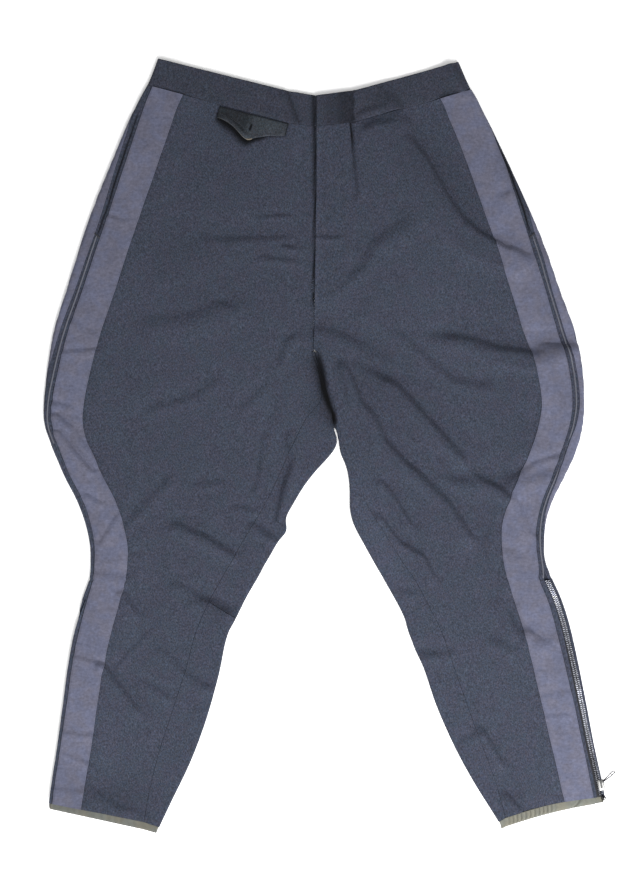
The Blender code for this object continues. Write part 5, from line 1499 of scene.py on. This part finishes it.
def zip_chain(leg):
    low = WALL + STRIPE_WALL + LAID
    if leg.side > 0:
        rows = leg.rows("knee_notch", "hem", 0.9)
        drift = np.interp(rows.at, (16, 16.5, 17.5, 18.6, 19.6, 20.6, 21.4, 22.2, 23), (7.2, 6.9, 7.3, 7.2, 6.0, 5.4, 5.0, 4.6, 4.4))
        middle_s, bed, height, reach = drift[:, None], low + EDGE_GAP - 0.55, 2.0, 3.7
    else:
        rows = leg.rows("below_knee", "ankle", 0.9)
        middle_s, bed, height, reach = (1.6 + ZIP_WIDTH + 1.6) / 2, low + 0.95, 1.25, 2.9
    s = middle_s + np.zeros((len(rows.at), 1))
    path = rows.at_s(s, bed + 0 * s)[:, 0]
    # Painted reflection: how bright the metal is painted along the chain.
    wear_and_shine = np.interp(path[:, 1], (-470, -440, -408, -380, -356, -335, -321, -312, -300, -268, -240, -215, -196, -186, -178), (0.12, 0.14, 0.18, 0.4, 0.6, 0.55, 0.95, 0.55, 0.42, 0.44, 0.52, 0.75, 1.5, 1.1, 0.75))
    gone = np.concatenate(([0], np.cumsum(np.hypot(*np.diff(path[:, :2], axis=0).T))))
    parts = []
    shine = []
    pitch = 2.5
    count = int((gone[-1] - 1.5) / (pitch / 2))
    for n in range(count):
        at = 0.8 + n * pitch / 2
        x, y = np.interp(at, gone, path[:, 0]), np.interp(at, gone, path[:, 1])
        x2, y2 = np.interp(at + 0.5, gone, path[:, 0]), np.interp(at + 0.5, gone, path[:, 1])
        run = np.array((x2 - x, y2 - y))
        run /= np.hypot(*run)
        out = np.array((run[1], -run[0])) * (1 if n % 2 else -1)
        # out points from this tooth's tape towards the middle of the zip
        centre = np.array((x, y, bed)) - np.append(out, 0) * (reach * 0.42)
        centre[2] = bed
        tip = 0.5 * float(wander(np.array([at]), np.array([3.0 * (n % 2)]), 9.0, 12)[0])
        parts.append(tooth_at(centre, run, out, height, reach, tip))
        dulled = 0.82 + 0.36 * float(wander(np.array([at]), np.array([7.0 * (n % 2)]), 3.1, 21)[0])
        shine += [float(np.interp(at, gone, wear_and_shine)) * dulled] * len(parts[-1][0])
    obj = joined(f"zip_teeth_{leg.name}", parts, {"dim": np.array(shine)}, sharp=30)
    return finished(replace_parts(obj, f"zip_chain_{leg.name}"), TEETH)


def tooth_at(centre, run, out, height, reach, tip):
    """One metal tooth: a block with a narrower, rounded head towards the middle of the zip, tipped by a hair."""
    points, faces = [], []
    plan = ((-0.5, -0.5), (0.18, -0.5), (0.42, -0.3), (0.5, 0.0), (0.42, 0.3), (0.18, 0.5), (-0.5, 0.5))
    length, width = reach * 0.94, 1.25
    for share, level in ((1.0, 0.0), (1.0, 0.7), (0.68, 1.0)):
        for u, v in plan:
            place = centre[:2] + out * (u * share * length) + run * (v * share * width)
            points.append((place[0], place[1], centre[2] + level * (height + tip * u * share)))
    count = len(plan)
    for ring in range(2):
        for k in range(count):
            n = (k + 1) % count
            faces.append([ring * count + k, ring * count + n, (ring + 1) * count + n, (ring + 1) * count + k])
    faces.append([2 * count + k for k in range(count)])
    faces.append(list(range(count))[::-1])
    if out[0] * run[1] - out[1] * run[0] < 0:
        faces = [face[::-1] for face in faces]
    return points, faces


def hem_loop():
    """The end of the zip's ribbon, turned into a small loop past the hem, with the knot that ties it off."""
    low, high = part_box("hem_loop_l")
    middle = (np.array(low) + np.array(high)) / 2 / MM - (CENTRE_X, CENTRE_Y, 0)
    angle = np.linspace(0, 2 * math.pi, 40)[:-1]
    path = np.column_stack([middle[0] + 2.7 * np.cos(angle), middle[1] + 2.7 * np.sin(angle), middle[2] + 0.25 * np.cos(2 * angle)])
    turn = np.linspace(0, 3.6 * math.pi, 60)
    knot = np.column_stack([middle[0] + 1.35 * np.cos(turn) * (1 - turn / 16), middle[1] + 1.2 * np.sin(turn) * (1 - turn / 16), middle[2] - 0.1 + 0.42 * np.sin(turn * 0.5)])
    obj = joined("zip_end_loop", [tube(path, 0.62, 10, flat=0.8, closed=True), tube(knot, 0.72, 8)])
    return finished(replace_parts(obj, "hem_loop_l"), DARK)


def ringed(outline, levels):
    """A closed solid from one outline (going anticlockwise) drawn in and lifted level by level: pairs of scale and height."""
    outline = np.asarray(outline, float)
    count = len(outline)
    points, faces = [], []
    for scale, z in levels:
        points += [(u * scale, v * scale, z) for u, v in outline]
    for ring in range(len(levels) - 1):
        for k in range(count):
            n = (k + 1) % count
            faces.append([ring * count + k, ring * count + n, (ring + 1) * count + n, (ring + 1) * count + k])
    faces.append(list(range(count))[::-1])
    faces.append([(len(levels) - 1) * count + k for k in range(count)])
    return np.array(points), faces


def placed_parts(parts, turn, at):
    return [(np.asarray(points) @ np.array(turn).T + at, faces) for points, faces in parts]


def turned(heading, slope=0.0):
    """Rotation matrix: first down by slope about Y, then round to a heading about Z, in degrees."""
    a, b = math.radians(heading), math.radians(slope)
    round_z = np.array(((math.cos(a), -math.sin(a), 0), (math.sin(a), math.cos(a), 0), (0, 0, 1)))
    return round_z @ np.array(((math.cos(b), 0, math.sin(b)), (0, 1, 0), (-math.sin(b), 0, math.cos(b))))


LEFT_PIVOT = (373.42, -435.97, 10.85)  # the axis the left tab turns on


def left_slider():
    """The slider's body: two plates with a waist between them, side flanges, and the bail its tab turns on."""
    section, above = Sections(LEGS[1], [SECTION["ankle"] + 0.2]), Sections(LEGS[1], [SECTION["ankle"] - 0.1])
    here = np.array([float(v[0, 0]) for v in section.plan(np.array([[2.2]]))])
    there = np.array([float(v[0, 0]) for v in above.plan(np.array([[2.2]]))])
    heading = math.degrees(math.atan2(*(there - here)[::-1])) - 90
    # Wide shoulders towards the open end, narrower where the closed chain comes out.
    outline = []
    for u, v in ((3.1, -7.2), (3.9, -6.4), (4.2, -3.0), (4.45, 0.6), (4.45, 4.6), (3.9, 6.4), (2.6, 7.2), (0.9, 6.6), (0.0, 5.6)):
        outline.append((u, v))
    outline += [(-u, v) for u, v in outline[::-1][1:]]
    body = [ringed(outline, ((0.9, 0.0), (0.98, 0.12), (1.0, 0.3), (1.0, 0.52), (0.93, 0.66)))]
    upper = [(u * 0.86, v * 0.9) for u, v in outline]
    body.append(ringed(upper, ((0.94, 0.6), (1.0, 0.75), (1.0, 0.98), (0.9, 1.14), (0.6, 1.2))))
    bail = [(0, -3.6, 1.0), (0, -3.5, 1.9), (0, -2.8, 2.9), (0, -1.2, 3.35), (0, 1.4, 3.35), (0, 3.0, 2.9), (0, 3.8, 1.9), (0, 3.9, 1.0)]
    sides = [tube([(x, -6.6, 0.75), (x * 1.06, -2, 0.95), (x * 1.1, 3, 0.95), (x * 0.95, 6.2, 0.75)], 0.42, 8) for x in (-3.5, 3.5)]
    low = 7.85
    # A sunk channel down the middle of the upper plate, painted dark as shade, between its two rails.
    channel = [ringed([(0.85, -4.6), (1.0, -4.0), (1.05, 3.6), (0.8, 4.6), (-0.8, 4.6), (-1.05, 3.6), (-1.0, -4.0), (-0.85, -4.6)], ((1.0, 1.1), (1.0, 1.24), (0.9, 1.27)))]
    parts = placed_parts(body + sides + channel, turned(heading), np.array((here[0], here[1], low)))
    # Painted reflection on the slider: its plates darker towards their outer sides, the side flanges painted bright as
    # highlights, the channel painted dark as shade.
    shine = [np.where(np.abs(np.asarray(p)[:, 0]) > 3.3, 0.35, 0.75) for p, _ in body]
    shine += [np.full(len(p), 1.25) for p, _ in sides] + [np.full(len(p), 0.16) for p, _ in channel]
    # The bail stands across, on two feet, where the tab's eye goes round it.
    hinge = np.array(LEFT_PIVOT)
    bar = [(0, -2.6, -1.6), (0, -2.45, -0.5), (0, -1.9, -0.02), (0, 0, 0.0), (0, 1.9, -0.02), (0, 2.45, -0.5), (0, 2.6, -1.6)]
    fine = np.column_stack([smooth_line(np.array([p[k] for p in bar], float), 40) for k in range(3)])
    parts += placed_parts([tube(fine, 0.58, 10)], turned(40.0), hinge)
    shine.append(np.full(len(parts[-1][0]), 0.8))
    obj = joined("zip_slider_l", parts, {"dim": np.concatenate(shine)}, sharp=35)
    return finished(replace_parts(obj, "slider_l"), SLIDER_METAL), hinge


def left_tab(hinge):
    """The pull tab: an eye round the bail, a narrow neck, and a frame of flat wire that widens to a rounded end."""
    parts = []
    angle = np.linspace(0, 2 * math.pi, 25)[:-1]
    parts.append(tube(np.column_stack([1.25 * np.cos(angle), 0 * angle, 1.25 * np.sin(angle)]), 0.27, 8, closed=True))
    outline = [(1.7, 0.0), (2.8, 0.62), (4.2, 0.75), (8.0, 1.0), (13.0, 1.45), (18.0, 1.7), (19.9, 1.55), (20.6, 0.8), (20.7, 0.0)]
    outline += [(x, -y) for x, y in outline[::-1][1:-1]]
    loop = np.array(outline + outline[:1], float)
    fine = np.column_stack([smooth_line(loop[:, 0], 120), smooth_line(loop[:, 1], 120), np.zeros(120)])[:-1]
    parts.append(tube(fine, 0.78, 8, flat=0.55, closed=True))
    for at, wide in ((4.2, 0.9), (15.5, 1.7)):
        parts.append(tube([(at, -wide, 0.0), (at + 0.12, 0.0, 0.06), (at, wide, 0.0)], 0.4, 8, flat=0.8))
    parts = placed_parts(parts, turned(40.0, 9.0), hinge)
    obj = joined("zip_pull_tab_l", parts, sharp=40)
    return finished(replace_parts(obj, "pull_tab_l"), TAB_METAL, "tab_l")


# ---------------------------------------------------------------- stitches


def stitch_run(places, heights, length, gap, radius=0.2, sink=0.16):
    """Stitches one after another along a line of places in plan, lying on a surface at these heights."""
    places, heights = np.asarray(places, float), np.asarray(heights, float)
    gone = np.concatenate(([0], np.cumsum(np.hypot(*np.diff(places, axis=0).T))))
    parts = []
    at = gap / 2
    while at + length < gone[-1]:
        d = at + length * np.array((0.0, 0.25, 0.75, 1.0))
        x, y, z = (np.interp(d, gone, v) for v in (places[:, 0], places[:, 1], heights))
        parts.append(tube(np.column_stack([x, y, z + np.array((-sink, 0.1, 0.1, -sink))]), radius, 6))
        at += length + gap
    return parts


def bar_tack(leg, at, out, reach):
    """A short thick row of stitches across the foot of the pocket opening."""
    parts = []
    for k in range(13):
        s = np.array([[out + reach * k / 12]])
        # It leans down towards the front.
        here = at + 0.05 * (k / 6 - 1)
        rows = Sections(leg, np.array([here]))
        z = rows.roof(s)
        middle = rows.at_s(s, z)[0, 0]
        up = Sections(leg, np.array([here - 0.02])).at_s(s, z)[0, 0]
        down = Sections(leg, np.array([here + 0.02])).at_s(s, z)[0, 0]
        top = WALL + 0.85
        path = [down + (0, 0, top - 0.5), (down * 0.6 + middle * 0.4) + (0, 0, top + 0.1), (up * 0.6 + middle * 0.4) + (0, 0, top + 0.1), up + (0, 0, top - 0.5)]
        parts.append(tube(path, 0.27 if leg.side < 0 else 0.24, 6))
    return finished(joined(f"pocket_tack_{leg.name}", parts), TACK)


def fly_stitches():
    """The curved row of stitches that holds the fly's facing."""
    leg = LEGS[1]
    parts = []
    line = np.array([(39.5, 412), (39.5, 300), (39, 252), (36.5, 228), (30, 208), (19, 195), (6, 189)], float)
    fine = np.column_stack([smooth_line(line[:, 0], 90), smooth_line(line[:, 1], 90)])
    parts += stitch_run(fine, height_on(leg, fine[:, 0], fine[:, 1]) - 0.04, 2.2, 0.9, 0.13)
    return finished(joined("fly_stitches", parts), THREAD)


def smooth_line(values, count):
    """Numbers on a smooth curve through these ones."""
    values = np.asarray(values, float)
    t = np.linspace(0, len(values) - 1, count)
    k = np.minimum(t.astype(int), len(values) - 2)
    f = t - k
    a, b = values[k], values[k + 1]
    before = np.where(k == 0, 2 * a - b, values[np.maximum(k - 1, 0)])
    after = np.where(k + 2 < len(values), values[np.minimum(k + 2, len(values) - 1)], 2 * b - a)
    return 0.5 * (2 * a + (b - before) * f + (2 * before - 5 * a + 4 * b - after) * f**2 + (3 * a - before - 3 * b + after) * f**3)


# ---------------------------------------------------------------- the garment

for leg in LEGS:
    front_panel(leg)
    back_panel(leg, "waist_seam", "cross_seam", f"trouser_back_{leg.name}", f"back_{leg.name}", BACKS)
    back_panel(leg, "cross_seam", "hem", f"trouser_calf_{leg.name}", f"calf_{leg.name}", CALVES)
STRIPES = [front_stripe(leg) for leg in LEGS] + [back_stripe(leg) for leg in LEGS]
PIPED = [piping(leg) for leg in LEGS]
BANDS = [waistband(leg) for leg in LEGS]
HEMS = [hem_tape(leg) for leg in LEGS]
RIBBONS = [zip_tape(leg) for leg in LEGS]
CHAINS = [zip_chain(leg) for leg in LEGS]
FLAP_PIECE, FLAP_TRIM = watch_flap()
LOOP = hem_loop()
SLIDER, HINGE = left_slider()
TAB = left_tab(HINGE)
TACKS = [bar_tack(LEGS[0], 3.74, 12.6, 8.2), bar_tack(LEGS[1], 3.74, 5.6, 8.4)]
FLY_LINE = fly_stitches()

for name in ("slider_r", "pull_tab_r"):
    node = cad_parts[name]
    for k in range(max(len(node.material_slots), 1)):
        if not node.material_slots:
            node.data.materials.append(NICKEL)
        node.material_slots[k].link = "OBJECT"
        node.material_slots[k].material = NICKEL


# ---------------------------------------------------------------- floor, light and camera


def floor():
    finish = Finish("pale_floor", 0.9, specular_ior_level=0.1)
    finish.colour(finish.shade((0.93, 0.93, 0.93), finish.about(finish.noise(60, 2.0), 0.008)))
    mesh = bpy.data.meshes.new("floor")
    half, level = 3.2, -0.0004
    mesh.from_pydata([(-half, -half, level), (half, -half, level), (half, half, level), (-half, half, level)], [], [(0, 1, 2, 3)])
    mesh.materials.append(finish.material)
    obj = bpy.data.objects.new("floor", mesh)
    bpy.context.scene.collection.objects.link(obj)


def light():
    world = bpy.data.worlds.new("studio")
    bpy.context.scene.world = world
    world.use_nodes = True
    sky = world.node_tree.nodes["Background"]
    sky.inputs["Color"].default_value = (1.0, 1.0, 1.0, 1.0)
    sky.inputs["Strength"].default_value = AMBIENT
    lamp = bpy.data.lights.new("softbox", "AREA")
    lamp.shape, lamp.size, lamp.size_y = "RECTANGLE", 2.0, 2.0
    lamp.energy = POWER
    obj = bpy.data.objects.new("softbox", lamp)
    obj.location = LAMP
    aim = Vector((0.0, -0.1, 0.0)) - Vector(LAMP)
    obj.rotation_euler = aim.to_track_quat("-Z", "Y").to_euler()
    bpy.context.scene.collection.objects.link(obj)


def camera():
    """Straight above, so that a millimetre and three tenths of the cloth's plane fill one pixel."""
    data = bpy.data.cameras.new("camera")
    data.lens, data.sensor_width, data.sensor_fit = 85.0, 36.0, "AUTO"
    data.clip_start, data.clip_end = 0.1, 50.0
    obj = bpy.data.objects.new("camera", data)
    obj.location = (-0.0121, 0.00565, 0.006 + 0.0013 * 883 * 85 / 36)
    obj.rotation_euler = (0, 0, 0)
    bpy.context.scene.collection.objects.link(obj)
    bpy.context.scene.camera = obj


AMBIENT, POWER, LAMP = 0.84, 120.0, (0.62, -1.55, 1.45)
floor()
light()
camera()
bpy.context.scene.view_settings.view_transform = "Standard"
